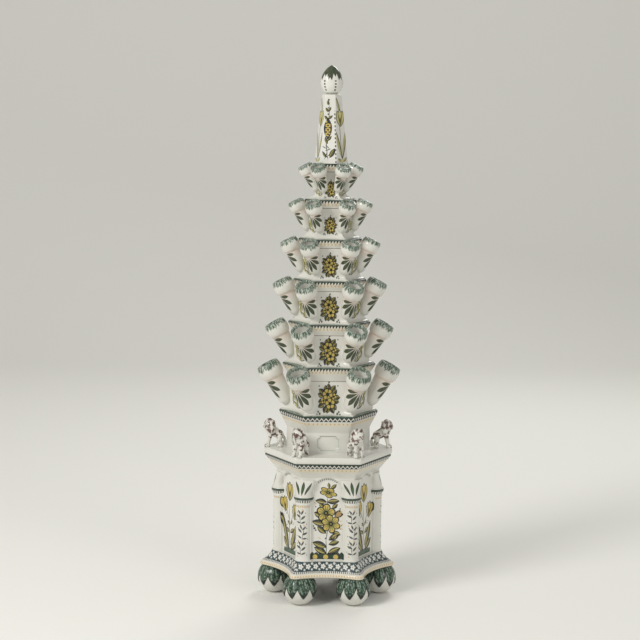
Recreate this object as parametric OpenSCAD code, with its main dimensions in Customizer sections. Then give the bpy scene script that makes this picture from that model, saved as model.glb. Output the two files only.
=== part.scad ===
// Hexagonal flower pyramid in tin-glazed earthenware, all sizes in millimetres.
// The stack stands on the floor at the origin, +Z up, with a flat side facing -Y.

/* [Ball feet] */
// Diameter of each ball foot
foot_d = 67; // [62:1:76]
// Height from the floor to the underside of the plinth
foot_h = 58; // [50:1:60]
// Radius of the flat spot that a foot stands on
foot_contact_r = 9; // [6:1:14]
// Distance of each foot's middle from the axis
foot_circle_r = 110; // [104:1:116]
// Number of leaves in the calyx round a foot
leaf_count = 8; // [6:1:12]
// Thickness of the moulded leaves over the ball
leaf_t = 2.5; // [1:0.5:4]
// Height of the leaf tips above the floor
leaf_tip_z = 18; // [12:1:26]
// Height of the notches between the leaves above the floor
leaf_notch_z = 38; // [30:1:46]

/* [Plinth] */
// Reach of the rounded plinth corners from the axis
plinth_r = 140; // [134:1:150]
// Height of the plinth
plinth_h = 33; // [26:1:45]
// Height of the rolled edge at the foot of the plinth
plinth_edge_h = 9; // [6:1:14]
// How far the plinth sides are drawn in between the corners
plinth_bow = 12; // [6:1:16]
// Width of the ledge at the top of the plinth
plinth_ledge = 2; // [1:0.5:4]

/* [Pedestal die] */
// Corner radius of the hexagonal die
die_r = 108; // [104:1:112]
// Height of the die from the plinth to the cornice
die_h = 173; // [150:1:200]
// Thickness of the pedestal wall behind the arched panels
pedestal_wall = 9; // [6:1:11]
// Depth of the arched panels
panel_depth = 5; // [2:0.5:7]
// Half width of the arched panels
arch_r = 33; // [28:1:35]
// Distance of the column middles from the axis
column_circle_r = 97; // [95:1:99]
// Radius of a column shaft
column_r = 16.5; // [14:0.5:18]
// Height of a column shaft
column_h = 121; // [105:1:130]
// How far a capital stands out from its shaft
capital_out = 4; // [2:0.5:6]
// Height of a capital
capital_h = 14; // [10:1:18]
// Height of the sloping shoulder over a capital
shoulder_h = 17; // [12:1:20]

/* [Cornice] */
// Corner radius of the pedestal rim
cornice_r = 132; // [126:1:134]
// Height of the cornice
cornice_h = 33; // [26:1:40]
// Radius of the round hole in the pedestal top
pedestal_hole_r = 60; // [50:1:66]
// Thickness of the pedestal top
pedestal_top_t = 9; // [7:1:14]

/* [Lion gallery] */
// Corner radius of the deck slab
deck_r = 135; // [130:1:140]
// Thickness of the deck slab
deck_h = 13.5; // [10:0.5:18]
// How far the deck edge bulges
deck_bulge = 3; // [1:0.5:5]
// Height of the gallery from deck underside to rim
gallery_h = 93; // [84:1:105]
// Corner radius of the gallery drum
drum_r = 87; // [82:1:92]
// Corner radius of the gallery rim
gallery_rim_r = 103; // [101:1:108]
// Height of the hollow band under the gallery rim
gallery_band_h = 26; // [18:1:32]
// Wall of the gallery drum
drum_wall = 6; // [4:0.5:8]
// Radius of the round hole in the gallery top
gallery_neck_r = 46; // [42:1:52]
// Half width of the sunk panel on each drum side
drum_panel_w = 25; // [18:1:32]
// Height of the sunk panel on each drum side
drum_panel_h = 34; // [24:1:38]
// Depth of the sunk panel
drum_panel_depth = 2.5; // [1:0.5:4]
// Radius of the notched corners of the sunk panel
drum_panel_notch = 6; // [3:1:9]

/* [Lions] */
// Height of a lion
lion_h = 58; // [48:1:62]
// Clearance of a lion's tail from the drum and of its muzzle from the deck edge
lion_gap = 1.5; // [1:0.5:4]
// Place of the lion's middle between tail and muzzle, as a share of its length
lion_middle = 0.47; // [0.45:0.01:0.5]

/* [Tier 1] */
// Height of the first tier
tier_1_h = 99; // [90:1:110]
// Corner radius of its rim
tier_1_rim_r = 96.5; // [93:0.5:99]
// Height of the hollow band under its rim
tier_1_band_h = 29; // [22:1:34]
// Radius of the round neck in its top
tier_1_neck_r = 42; // [36:1:46]
// Outside diameter of its spout mouths
tier_1_mouth_d = 43; // [36:1:46]
// How far its spout mouths stand out past the rim corners
tier_1_reach = 32.5; // [29:0.5:38]

/* [Tier 2] */
// Height of the second tier
tier_2_h = 87; // [80:1:98]
// Corner radius of its rim
tier_2_rim_r = 85.5; // [82:0.5:89]
// Height of the hollow band under its rim
tier_2_band_h = 23; // [18:1:28]
// Radius of the round neck in its top
tier_2_neck_r = 37; // [31:1:41]
// Outside diameter of its spout mouths
tier_2_mouth_d = 40; // [34:1:43]
// How far its spout mouths stand out past the rim corners
tier_2_reach = 30; // [26:0.5:35]

/* [Tier 3] */
// Height of the third tier
tier_3_h = 88; // [80:1:98]
// Corner radius of its rim
tier_3_rim_r = 75.5; // [72:0.5:79]
// Height of the hollow band under its rim
tier_3_band_h = 21.5; // [17:0.5:27]
// Radius of the round neck in its top
tier_3_neck_r = 32; // [27:1:36]
// Outside diameter of its spout mouths
tier_3_mouth_d = 38; // [32:1:40]
// How far its spout mouths stand out past the rim corners
tier_3_reach = 25.5; // [23:0.5:31]

/* [Tier 4] */
// Height of the fourth tier
tier_4_h = 84; // [77:1:94]
// Corner radius of its rim
tier_4_rim_r = 65.5; // [62:0.5:69]
// Height of the hollow band under its rim
tier_4_band_h = 18; // [15:0.5:23]
// Radius of the round neck in its top
tier_4_neck_r = 26; // [21:1:30]
// Outside diameter of its spout mouths
tier_4_mouth_d = 34; // [30:1:37]
// How far its spout mouths stand out past the rim corners
tier_4_reach = 22.5; // [20:0.5:28]

/* [Tier 5] */
// Height of the fifth tier
tier_5_h = 80; // [73:1:90]
// Corner radius of its rim
tier_5_rim_r = 53.5; // [50:0.5:57]
// Height of the hollow band under its rim
tier_5_band_h = 17.5; // [14:0.5:22]
// Radius of the round neck in its top
tier_5_neck_r = 18; // [15:1:20]
// Outside diameter of its spout mouths
tier_5_mouth_d = 30; // [27:1:33]
// How far its spout mouths stand out past the rim corners
tier_5_reach = 19.5; // [18:0.5:25]

/* [Tier 6] */
// Height of the sixth tier
tier_6_h = 73; // [66:1:82]
// Corner radius of its rim
tier_6_rim_r = 36; // [34:0.5:39]
// Height of the hollow band under its rim
tier_6_band_h = 17; // [14:0.5:21]
// Radius of the round neck in its top
tier_6_neck_r = 12; // [10:0.5:14]
// Outside diameter of its spout mouths
tier_6_mouth_d = 28; // [25:1:30]
// How far its spout mouths stand out past the rim corners
tier_6_reach = 18.5; // [18:0.5:24]

/* [Tier walls] */
// Wall of every tier
tier_wall = 5; // [3.5:0.5:6]
// Thickness of the floor and of the top plate of every tier
plate_t = 6; // [4:0.5:8]
// Height of the plain edge of every rim
rim_edge_h = 4; // [2:0.5:6]
// Flare of a rim for each millimetre of its hollow band
band_flare = 0.5; // [0.3:0.01:0.55]
// Height of the flared skirt at the foot of a tier
skirt_h = 17; // [12:1:20]
// Height of the plain edge of a skirt
skirt_edge_h = 2.5; // [1:0.5:4]
// How far a skirt stands back from the rim corner that carries it
skirt_inset = 2.5; // [1:0.5:5]
// How far the skirt sides are drawn in between the corners
skirt_bow = 9; // [4:0.5:12]
// Height of the round spigots that locate each stage
spigot_h = 10; // [8:0.5:14]
// Wall of the spigot rings
spigot_wall = 4; // [3:0.5:5]
// Clearance of a spigot in its neck
neck_gap = 1; // [0.5:0.25:1.5]

/* [Spouts] */
// Bulge of the spout head, as a share of the mouth diameter
head_swell = 1.15; // [1.05:0.01:1.2]
// Length of the spout head, as a share of the mouth diameter
head_share = 0.77; // [0.65:0.01:0.85]
// Tube diameter under the head, as a share of the mouth diameter
tube_share = 0.92; // [0.8:0.01:0.98]
// Root diameter, as a share of the mouth diameter
root_share = 0.58; // [0.5:0.01:0.64]
// Thickness of the spout lip
lip_t = 4; // [3:0.25:5]
// Depth of the wide cup in the head, as a share of the head length
cup_share = 0.6; // [0.45:0.05:0.75]
// Bore diameter, as a share of the root diameter
bore_share = 0.7; // [0.6:0.01:0.74]
// Height of the mouth middle under the rim of its tier
mouth_drop = 5; // [2:0.5:9]
// Height of the rounded spout root over the skirt
root_rise = 7; // [4:0.5:10]
// How deep a spout sits in its corner, as a share of the tier wall
bite_share = 0.9; // [0.7:0.05:0.95]
// Luting gap between a spout and its corner
lute_gap = 0.1; // [0.05:0.05:0.3]
// Radius of the pierced passage from spout to reservoir
passage_r = 3; // [2:0.25:3.5]

/* [Obelisk] */
// Corner radius at the foot of the obelisk
obelisk_r = 35; // [32:0.5:36]
// Corner radius at the top of the obelisk
obelisk_top_r = 19; // [16:0.5:24]
// Height of the obelisk
obelisk_h = 140; // [120:1:160]
// Wall of the obelisk
obelisk_wall = 4.5; // [3:0.5:6]
// Gap that the glaze leaves under the obelisk
seat_gap = 0.1; // [0.05:0.05:0.5]
// Turn of the obelisk about the axis
obelisk_turn = -10; // [-30:1:30]

/* [Bud] */
// Diameter of the bud finial
bud_d = 46; // [40:1:52]
// Height of the bud finial
bud_h = 59; // [50:1:66]
// Height of the widest ring of the bud, as a share of half its diameter
bud_belly = 0.8; // [0.6:0.05:0.95]
// Radius of the blunt tip of the bud
bud_tip_r = 1.2; // [0.6:0.2:3]
// Radius of the dowel that holds the bud
dowel_r = 6; // [4:0.5:8]
// Length of the dowel
dowel_l = 12; // [8:1:16]

/* [Hidden] */
$fn = 64;
eps = 0.5;
side_count = 6;
hollow_share = 0.15;
side_angle = 360 / side_count;
cos_half = cos(side_angle / 2);
glaze_white = "#e9e7dc";
leaf_green = "#4f7158";
lion_white = "#e3dad4";

tier_h = [tier_1_h, tier_2_h, tier_3_h, tier_4_h, tier_5_h, tier_6_h];
rim_r = [tier_1_rim_r, tier_2_rim_r, tier_3_rim_r, tier_4_rim_r, tier_5_rim_r, tier_6_rim_r];
band_h = [tier_1_band_h, tier_2_band_h, tier_3_band_h, tier_4_band_h, tier_5_band_h, tier_6_band_h];
neck_r = [tier_1_neck_r, tier_2_neck_r, tier_3_neck_r, tier_4_neck_r, tier_5_neck_r, tier_6_neck_r];
mouth_d = [tier_1_mouth_d, tier_2_mouth_d, tier_3_mouth_d,
           tier_4_mouth_d, tier_5_mouth_d, tier_6_mouth_d];
reach = [tier_1_reach, tier_2_reach, tier_3_reach, tier_4_reach, tier_5_reach, tier_6_reach];

// Levels of the stack
plinth_top_z = foot_h + plinth_h;
cornice_z = plinth_top_z + die_h;
gallery_z = cornice_z + cornice_h;
deck_top_z = gallery_z + deck_h;
tier_1_z = gallery_z + gallery_h;
function tier_z(i) = i == 0 ? tier_1_z : tier_z(i - 1) + tier_h[i - 1];
obelisk_z = tier_z(len(tier_h)) + seat_gap;
bud_z = obelisk_z + obelisk_h;

// Radius of an arc that leaves a wall straight and reaches a flare in a given height
function sweep_r(flare, height) = (flare * flare + height * height) / (2 * flare);

// Values of the tier with index i, counted from the bottom
function flat(corner_r) = corner_r * cos_half;
function wall_r(i) = rim_r[i] - band_flare * band_h[i];
function rim_below_r(i) = i == 0 ? gallery_rim_r : rim_r[i - 1];
function neck_below_r(i) = i == 0 ? gallery_neck_r : neck_r[i - 1];
function skirt_r(i) = rim_below_r(i) - skirt_inset;
function skirt_side_a(i) = flat(skirt_r(i)) - skirt_bow;
function spigot_r(i) = neck_below_r(i) - neck_gap;

// Values of a spout on the tier with index i, measured along its axis from the root
function root_r(i) = mouth_d[i] * root_share / 2;
function tube_r(i) = mouth_d[i] * tube_share / 2;
function bore_r(i) = root_r(i) * bore_share;
function head_l(i) = mouth_d[i] * head_share;
function mouth_out(i) = rim_r[i] + reach[i];
function mouth_up(i) = tier_h[i] - mouth_drop;
function root_up(i) = skirt_h + root_rise;
function bite() = tier_wall * bite_share;
function root_out(i) = wall_r(i) + root_r(i) - bite();
function spout_run(i) = mouth_out(i) - root_out(i);
function spout_climb(i) = mouth_up(i) - root_up(i);
function spout_tilt(i) = atan2(spout_run(i), spout_climb(i));
function spout_l(i) = norm([spout_run(i), spout_climb(i)]);
function ring_s(i) = spout_l(i) - head_l(i);
function cup_s(i) = spout_l(i) - head_l(i) * cup_share;
function cup_r(i) = mouth_d[i] / 2 - lip_t;
function tube_taper(i) = (tube_r(i) - root_r(i)) / ring_s(i);
// Length over which a leaning spout still touches its corner
function seat_s(i) = (bite() + root_r(i) * (1 / cos(spout_tilt(i)) - 1))
    / (sin(spout_tilt(i)) - tube_taper(i) / cos(spout_tilt(i)));
function bore_floor_s(i) = min(seat_s(i) + lip_t, ring_s(i) - lip_t);
function bore_end_s(i) = cup_s(i) - (cup_r(i) - bore_r(i));

spout_nodes = [for (t = [1:6]) for (s = [1:6]) str("spout_", t, "_", s)];

// Six-sided solid from its section on a corner, drawn with x as the corner radius
module six_sided() {
    rotate_extrude($fn = side_count) children();
}

// Upright hexagonal prism with the given corner radius
module hex_prism(corner_r, height) {
    cylinder(h = height, r = corner_r, $fn = side_count);
}

// Section of a wall that slopes out to a rim: the wall stands at wall_x
module flared_rim(wall_x, rim_x, top_y, height) {
    low_y = top_y - height;
    polygon([[0, low_y], [wall_x, low_y], [rim_x, top_y - rim_edge_h], [rim_x, top_y], [0, top_y]]);
}

// Section of a wall that sweeps out to a foot
module flared_foot(wall_x, foot_x, bottom_y, height) {
    edge_y = bottom_y + skirt_edge_h;
    top_y = bottom_y + height;
    difference() {
        polygon([[0, bottom_y], [foot_x, bottom_y], [foot_x, edge_y], [wall_x, top_y], [0, top_y]]);
        hollow([foot_x, edge_y], [wall_x, top_y]);
    }
}

// Radius of a round cutter that hollows a side between two corners down to side_a
function cutter_r(corner_r, side_a) =
    (pow(corner_r / 2, 2) + pow(flat(corner_r) - side_a, 2)) / (2 * (flat(corner_r) - side_a));

// Puts a shape on the middle of each side
module on_sides() {
    for (k = [0:side_count - 1])
        rotate(side_angle * (k + 0.5)) children();
}

// Puts a shape on each corner
module on_corners() {
    for (k = [0:side_count - 1])
        rotate(side_angle * k) children();
}

module foot(n) {
    ball_r = foot_d / 2;
    ball_z = sqrt(ball_r * ball_r - foot_contact_r * foot_contact_r);
    calyx_r = ball_r + leaf_t;
    half_pitch = 180 / leaf_count;
    notch_w = calyx_r * tan(half_pitch);
    rotate(side_angle * (n - 1)) translate([foot_circle_r, 0, 0]) {
        color(glaze_white) intersection() {
            translate([0, 0, ball_z]) sphere(ball_r, $fn = 96);
            cylinder(h = foot_h, r = foot_d);
        }
        color(leaf_green) difference() {
            translate([0, 0, ball_z]) sphere(calyx_r, $fn = 96);
            translate([0, 0, ball_z]) sphere(ball_r, $fn = 96);
            translate([0, 0, foot_h]) cylinder(h = foot_d, r = foot_d);
            translate([0, 0, leaf_tip_z - foot_d]) cylinder(h = foot_d, r = foot_d);
            for (k = [0:leaf_count - 1])
                rotate(2 * half_pitch * (k + 0.5))
                    rotate([90, 0, 90])
                        linear_extrude(foot_d)
                            polygon([[-notch_w, leaf_tip_z - eps], [notch_w, leaf_tip_z - eps],
                                     [0, leaf_notch_z]]);
        }
    }
}

// Flared plinth with round corners; a turned cutter on each side draws the side in
module plinth() {
    edge_h = plinth_edge_h;
    lobe_top_r = column_circle_r + column_r + plinth_ledge;
    side_a = flat(plinth_r) - plinth_bow;
    side_top_a = flat(die_r) + plinth_ledge;
    cutter = cutter_r(plinth_r + plinth_bow, side_a);
    centre = side_a + cutter;
    translate([0, 0, foot_h]) difference() {
        rotate_extrude($fn = 128) difference() {
            polygon([[0, 0], [plinth_r, 0], [plinth_r, edge_h], [lobe_top_r, plinth_h], [0, plinth_h]]);
            hollow([plinth_r - plinth_ledge, edge_h], [lobe_top_r, plinth_h]);
        }
        on_sides() translate([centre, 0, 0]) rotate_extrude($fn = 128) {
            translate([0, -eps]) square([cutter, edge_h + eps]);
            translate([0, edge_h]) polygon([[0, 0], [cutter, 0], [centre - side_top_a, plinth_h - edge_h],
                [centre - side_top_a, plinth_h - edge_h + eps], [0, plinth_h - edge_h + eps]]);
        }
    }
}

// Circle that hollows a section along the line from a to b
module hollow(a, b) {
    chord = norm(b - a);
    depth = chord * hollow_share;
    circle_r = sweep_r(depth, chord / 2);
    out = [(b - a).y, (a - b).x] / chord;
    translate((a + b) / 2 + out * (circle_r - depth)) circle(circle_r);
}

module column() {
    capital_r = column_r + capital_out;
    shoulder_r = die_r - column_circle_r + eps;
    translate([column_circle_r, 0, plinth_top_z]) {
        cylinder(h = column_h + capital_h, r = column_r);
        translate([0, 0, column_h]) cylinder(h = capital_h / 2, r1 = column_r, r2 = capital_r);
        translate([0, 0, column_h + capital_h / 2]) cylinder(h = capital_h / 2, r = capital_r);
        translate([0, 0, column_h + capital_h])
            cylinder(h = shoulder_h, r1 = capital_r - capital_out / 2, r2 = shoulder_r);
    }
}

module arched_panel() {
    face_a = flat(die_r);
    spring_h = die_h - arch_r;
    translate([face_a - panel_depth, 0, plinth_top_z])
        rotate([90, 0, 90])
            linear_extrude(2 * panel_depth) {
                translate([-arch_r, 0]) square([2 * arch_r, spring_h]);
                translate([0, spring_h]) circle(arch_r, $fn = 96);
            }
}

module pedestal_body() {
    cavity_r = (flat(die_r) - panel_depth - pedestal_wall) / cos_half;
    color(glaze_white) difference() {
        union() {
            plinth();
            difference() {
                six_sided() {
                    translate([0, foot_h + plinth_edge_h]) square([die_r, die_h + plinth_h - plinth_edge_h]);
                    flared_rim(die_r, cornice_r, gallery_z, cornice_h);
                }
                on_sides() arched_panel();
            }
            on_corners() column();
        }
        translate([0, 0, foot_h - eps])
            hex_prism(cavity_r, gallery_z - pedestal_top_t - foot_h + eps);
        translate([0, 0, cornice_z]) cylinder(h = 2 * cornice_h, r = pedestal_hole_r);
    }
}

module drum_panel() {
    middle_z = (deck_top_z + tier_1_z - gallery_band_h) / 2;
    translate([flat(drum_r) - drum_panel_depth, 0, middle_z])
        rotate([90, 0, 90])
            linear_extrude(2 * drum_panel_depth)
                difference() {
                    square([2 * drum_panel_w, drum_panel_h], center = true);
                    for (x = [-1, 1])
                        for (y = [-1, 1])
                            translate([x * drum_panel_w, y * drum_panel_h / 2])
                                circle(drum_panel_notch, $fn = 48);
                }
}

module gallery_body() {
    bulge_r = sweep_r(deck_bulge, deck_h / 2);
    ring_r = pedestal_hole_r - neck_gap;
    cavity_r = (flat(drum_r) - drum_panel_depth - drum_wall) / cos_half;
    color(glaze_white) difference() {
        union() {
            six_sided() {
                translate([0, gallery_z]) square([deck_r - deck_bulge, deck_h]);
                intersection() {
                    translate([deck_r - bulge_r, gallery_z + deck_h / 2]) circle(bulge_r, $fn = 32);
                    translate([0, gallery_z]) square([deck_r, deck_h]);
                }
                translate([0, gallery_z]) square([drum_r, gallery_h]);
                flared_rim(drum_r, gallery_rim_r, tier_1_z, gallery_band_h);
            }
            translate([0, 0, gallery_z - spigot_h]) cylinder(h = spigot_h + eps, r = ring_r);
        }
        on_sides() drum_panel();
        translate([0, 0, gallery_z - spigot_h - eps])
            cylinder(h = spigot_h + deck_h + 2 * eps, r = ring_r - spigot_wall);
        translate([0, 0, deck_top_z])
            hex_prism(cavity_r, gallery_h - deck_h - plate_t);
        translate([0, 0, tier_1_z - 2 * plate_t]) cylinder(h = 3 * plate_t, r = gallery_neck_r);
    }
}

// A limb or trunk between two balls, each given as [x, y, z, radius] in shares of the height
module limb(a, b) {
    hull() {
        translate([a.x, a.y, a.z]) sphere(a[3], $fn = 8);
        translate([b.x, b.y, b.z]) sphere(b[3], $fn = 8);
    }
}

// Lion walking outwards with its head up, as long as the deck corner leaves room for
module lion(n) {
    room = deck_r - drum_r - 2 * lion_gap;
    middle_r = drum_r + lion_gap + room * lion_middle;
    rotate(side_angle * (n - 1)) translate([middle_r, 0, deck_top_z])
        color(lion_white) difference() {
            scale([room, lion_h, lion_h]) {
                limb([0.13, 0, 0.56, 0.19], [-0.20, 0, 0.42, 0.155]);
                limb([0.18, 0, 0.60, 0.21], [0.22, 0, 0.74, 0.22]);
                limb([0.28, 0, 0.81, 0.17], [0.42, 0, 0.74, 0.09]);
                for (side = [-1, 1]) {
                    limb([0.16, 0.14 * side, 0.84, 0.08], [0.12, 0.19 * side, 0.62, 0.08]);
                    limb([0.20, 0.11 * side, 0.46, 0.10], [0.29, 0.12 * side, 0.05, 0.07]);
                    limb([0.29, 0.12 * side, 0.04, 0.07], [0.38, 0.12 * side, 0.03, 0.06]);
                    limb([-0.20, 0.10 * side, 0.38, 0.13], [-0.24, 0.13 * side, 0.05, 0.07]);
                    limb([-0.24, 0.13 * side, 0.04, 0.07], [-0.15, 0.13 * side, 0.03, 0.06]);
                }
                limb([-0.31, 0, 0.40, 0.055], [-0.40, 0, 0.30, 0.05]);
                limb([-0.40, 0, 0.30, 0.05], [-0.40, 0, 0.14, 0.06]);
            }
            translate([0, 0, -lion_h]) cylinder(h = lion_h, r = lion_h);
        }
}

// Puts a spout's own frame, mouth towards +Z, on corner s of the tier with index i
module at_corner(i, s) {
    rotate(side_angle * s)
        translate([root_out(i), 0, tier_z(i) + root_up(i)])
            rotate([0, spout_tilt(i), 0]) children();
}

// Rounded root and tapering tube of a spout, grown by a gap all round
module spout_tube(i, grow) {
    rotate_extrude($fn = 96) {
        intersection() {
            circle(root_r(i) + grow, $fn = 96);
            translate([0, -mouth_d[i]]) square([mouth_d[i], mouth_d[i]]);
        }
        polygon([[0, 0], [root_r(i) + grow, 0], [tube_r(i) + grow, ring_s(i)], [0, ring_s(i)]]);
    }
}

// Bulging head of a spout
module spout_head(i) {
    swell = mouth_d[i] * (head_swell - 1) / 2;
    bulb_r = sweep_r(swell, head_l(i) / 2);
    rotate_extrude($fn = 96) intersection() {
        translate([mouth_d[i] / 2 + swell - bulb_r, ring_s(i) + head_l(i) / 2])
            circle(bulb_r, $fn = 128);
        translate([0, ring_s(i)]) square([mouth_d[i], head_l(i)]);
    }
}

// Pierced passage from the bore floor of a spout down into the reservoir
module passage(i) {
    floor_out = bore_floor_s(i) * sin(spout_tilt(i));
    floor_up = bore_floor_s(i) * cos(spout_tilt(i));
    start = [root_out(i) + floor_out, root_up(i) + floor_up];
    stop = [wall_r(i) - 3 * tier_wall, plate_t + 2 * passage_r];
    fall = atan2(start.x - stop.x, start.y - stop.y);
    translate([start.x, 0, tier_z(i) + start.y])
        rotate([0, 180 + fall, 0])
            translate([0, 0, -passage_r])
                cylinder(h = norm(start - stop) + passage_r, r = passage_r, $fn = 32);
}

module spout(i, s) {
    color(glaze_white) difference() {
        at_corner(i, s) difference() {
            union() {
                spout_tube(i, 0);
                spout_head(i);
            }
            translate([0, 0, bore_floor_s(i)]) cylinder(h = spout_l(i), r = bore_r(i));
            translate([0, 0, bore_end_s(i)])
                cylinder(h = cup_s(i) - bore_end_s(i), r1 = bore_r(i), r2 = cup_r(i));
            translate([0, 0, cup_s(i)]) cylinder(h = spout_l(i), r = cup_r(i));
        }
        rotate(side_angle * s) passage(i);
    }
}

// Hollow of a tier, with its corners cut flat where the passages come in
module reservoir(i) {
    cavity_r = wall_r(i) - tier_wall / cos_half;
    cavity_h = tier_h[i] - 2 * plate_t;
    translate([0, 0, tier_z(i) + plate_t]) intersection() {
        hex_prism(cavity_r, cavity_h);
        rotate(side_angle / 2) hex_prism((cavity_r - passage_r) / cos_half, cavity_h);
    }
}

module tier(i) {
    z = tier_z(i);
    top_z = z + tier_h[i];
    cutter = cutter_r(skirt_r(i) + skirt_inset, skirt_side_a(i));
    color(glaze_white) difference() {
        union() {
            six_sided() {
                translate([0, z]) square([wall_r(i), tier_h[i]]);
                flared_rim(wall_r(i), rim_r[i], top_z, band_h[i]);
                flared_foot(wall_r(i), skirt_r(i), z, skirt_h);
            }
            translate([0, 0, z - spigot_h]) cylinder(h = spigot_h + eps, r = spigot_r(i));
        }
        on_sides() translate([skirt_side_a(i) + cutter, 0, z - eps])
            cylinder(h = skirt_h, r = cutter, $fn = 96);
        translate([0, 0, z - spigot_h - eps])
            cylinder(h = spigot_h + eps, r = spigot_r(i) - spigot_wall);
        reservoir(i);
        translate([0, 0, top_z - 2 * plate_t]) cylinder(h = 3 * plate_t, r = neck_r[i]);
        for (s = [0:side_count - 1]) {
            at_corner(i, s) spout_tube(i, lute_gap);
            rotate(side_angle * s) passage(i);
        }
    }
}

module obelisk() {
    plug_r = tier_6_neck_r - neck_gap;
    inside_h = obelisk_h - dowel_l - 2 * plate_t;
    lean = (obelisk_r - obelisk_top_r) / obelisk_h;
    inside_r = obelisk_r - obelisk_wall / cos_half - lean * plate_t;
    color(glaze_white) rotate(obelisk_turn) difference() {
        union() {
            translate([0, 0, obelisk_z]) six_sided()
                polygon([[0, 0], [obelisk_r, 0], [obelisk_top_r, obelisk_h], [0, obelisk_h]]);
            translate([0, 0, obelisk_z - spigot_h]) cylinder(h = spigot_h + eps, r = plug_r);
        }
        translate([0, 0, obelisk_z + plate_t]) six_sided()
            polygon([[0, 0], [inside_r, 0], [inside_r - lean * inside_h, inside_h], [0, inside_h]]);
        translate([0, 0, obelisk_z - spigot_h - eps])
            cylinder(h = spigot_h + plate_t + 2 * eps, r = plug_r - spigot_wall);
        translate([0, 0, bud_z - dowel_l - lute_gap])
            cylinder(h = 2 * dowel_l, r = dowel_r + lute_gap);
    }
}

module finial_bud() {
    belly_r = bud_d / 2;
    belly_z = belly_r * bud_belly;
    tip_h = bud_h - belly_z;
    shoulder_r = sweep_r(belly_r - bud_tip_r, tip_h);
    color(glaze_white) translate([0, 0, bud_z]) {
        rotate_extrude($fn = 96) {
            intersection() {
                translate([0, belly_z]) circle(belly_r, $fn = 96);
                square([belly_r, belly_z]);
            }
            intersection() {
                translate([belly_r - shoulder_r, belly_z]) circle(shoulder_r, $fn = 128);
                translate([0, belly_z]) square([belly_r, tip_h]);
            }
        }
        translate([0, 0, -dowel_l]) cylinder(h = dowel_l + belly_z, r = dowel_r);
    }
}

pedestal_body();
for (n = [1:6]) foot(n);
gallery_body();
for (n = [1:6]) lion(n);
for (n = [1:6]) tier(n - 1);
for (t = [1:6])
    for (s = [1:6])
        spout(t - 1, s - 1);
obelisk();
finial_bud();
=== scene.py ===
import math
import bpy
import bmesh
import numpy as np
from mathutils import Matrix, Vector


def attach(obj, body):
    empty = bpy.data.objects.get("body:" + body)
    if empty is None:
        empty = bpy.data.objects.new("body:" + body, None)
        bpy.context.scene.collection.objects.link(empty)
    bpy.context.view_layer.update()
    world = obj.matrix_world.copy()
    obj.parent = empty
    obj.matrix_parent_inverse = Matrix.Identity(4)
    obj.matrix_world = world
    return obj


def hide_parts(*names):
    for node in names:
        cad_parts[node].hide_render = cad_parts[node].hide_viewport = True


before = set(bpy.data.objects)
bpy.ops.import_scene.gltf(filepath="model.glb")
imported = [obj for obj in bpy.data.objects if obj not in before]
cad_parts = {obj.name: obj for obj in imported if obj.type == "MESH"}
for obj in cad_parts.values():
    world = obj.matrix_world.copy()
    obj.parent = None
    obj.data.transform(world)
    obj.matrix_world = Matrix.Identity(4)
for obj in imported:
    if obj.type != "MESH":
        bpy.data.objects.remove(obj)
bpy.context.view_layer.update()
print("frame loaded:", len(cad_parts), "solids")

mm = 0.001
sideCount = 6
halfSide = math.pi / 6  # half a side, seen from the axis
cosHalf = math.cos(halfSide)
rng = np.random.default_rng(7)

# pigments and glazes, linear colour; the grey is painted shade for the insides
tint = {
    "white": (0.665, 0.657, 0.600, 1), "milk": (0.715, 0.708, 0.655, 1), "insideShadeGrey": (0.520, 0.520, 0.490, 1),
    "flesh": (0.690, 0.560, 0.480, 1), "cream": (0.740, 0.640, 0.450, 1),
    "green": (0.026, 0.052, 0.034, 1), "deep": (0.009, 0.014, 0.011, 1), "moss": (0.085, 0.135, 0.060, 1),
    "fern": (0.062, 0.118, 0.074, 1), "olive": (0.060, 0.068, 0.026, 1), "teal": (0.022, 0.048, 0.056, 1),
    "wash": (0.230, 0.310, 0.240, 1), "yellow": (0.570, 0.440, 0.115, 1), "straw": (0.440, 0.380, 0.120, 1),
    "lemon": (0.560, 0.510, 0.210, 1), "ochre": (0.560, 0.370, 0.160, 1), "leafGold": (0.330, 0.270, 0.070, 1),
    "brown": (0.075, 0.038, 0.026, 1), "plum": (0.150, 0.078, 0.072, 1), "pit": (0.300, 0.260, 0.210, 1)}


def operator(operation, swapped=False):  # a method of Tone that adds one Math node
    return lambda self, other: self.calc(operation, *((other, self) if swapped else (self, other)))


class Tone:  # one shader value; | is the larger of two, shapes laid together, and & the smaller, only where both are
    __add__ = __radd__ = operator("ADD")
    __sub__, __rsub__ = operator("SUBTRACT"), operator("SUBTRACT", True)
    __mul__ = __rmul__ = operator("MULTIPLY")
    __truediv__, __mod__ = operator("DIVIDE"), operator("FLOORED_MODULO")
    __or__, __and__ = operator("MAXIMUM"), operator("MINIMUM")

    def __init__(self, glaze, socket):
        self.glaze, self.socket = glaze, socket

    def __abs__(self):
        return self.calc("ABSOLUTE", self)

    def __neg__(self):
        return self * -1

    def calc(self, operation, *terms):
        return self.glaze.add("Math", {"operation": operation}, dict(enumerate(terms)))

    def wave(self, operation):
        return self.calc(operation, self)

    def beat(self, pitch):  # distance from the middle of the nearest of equal cells
        return abs((self / pitch) % 1.0 - 0.5) * pitch

    def soft(self, low, high):  # 0 under low, 1 over high
        return self.glaze.add("MapRange", {"interpolation_type": "SMOOTHSTEP"},
                              {"Value": self, "From Min": low, "From Max": high})


def joined(field, one):  # two shapes as one; the first may be none yet
    return one if field is None else field | one


# scales of the noise that breaks up the glaze, per metre
grain = {"wobble": 420, "thin": 130, "cloud": 17, "speck": 700, "ripple": 75, "rough": 55}


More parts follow.
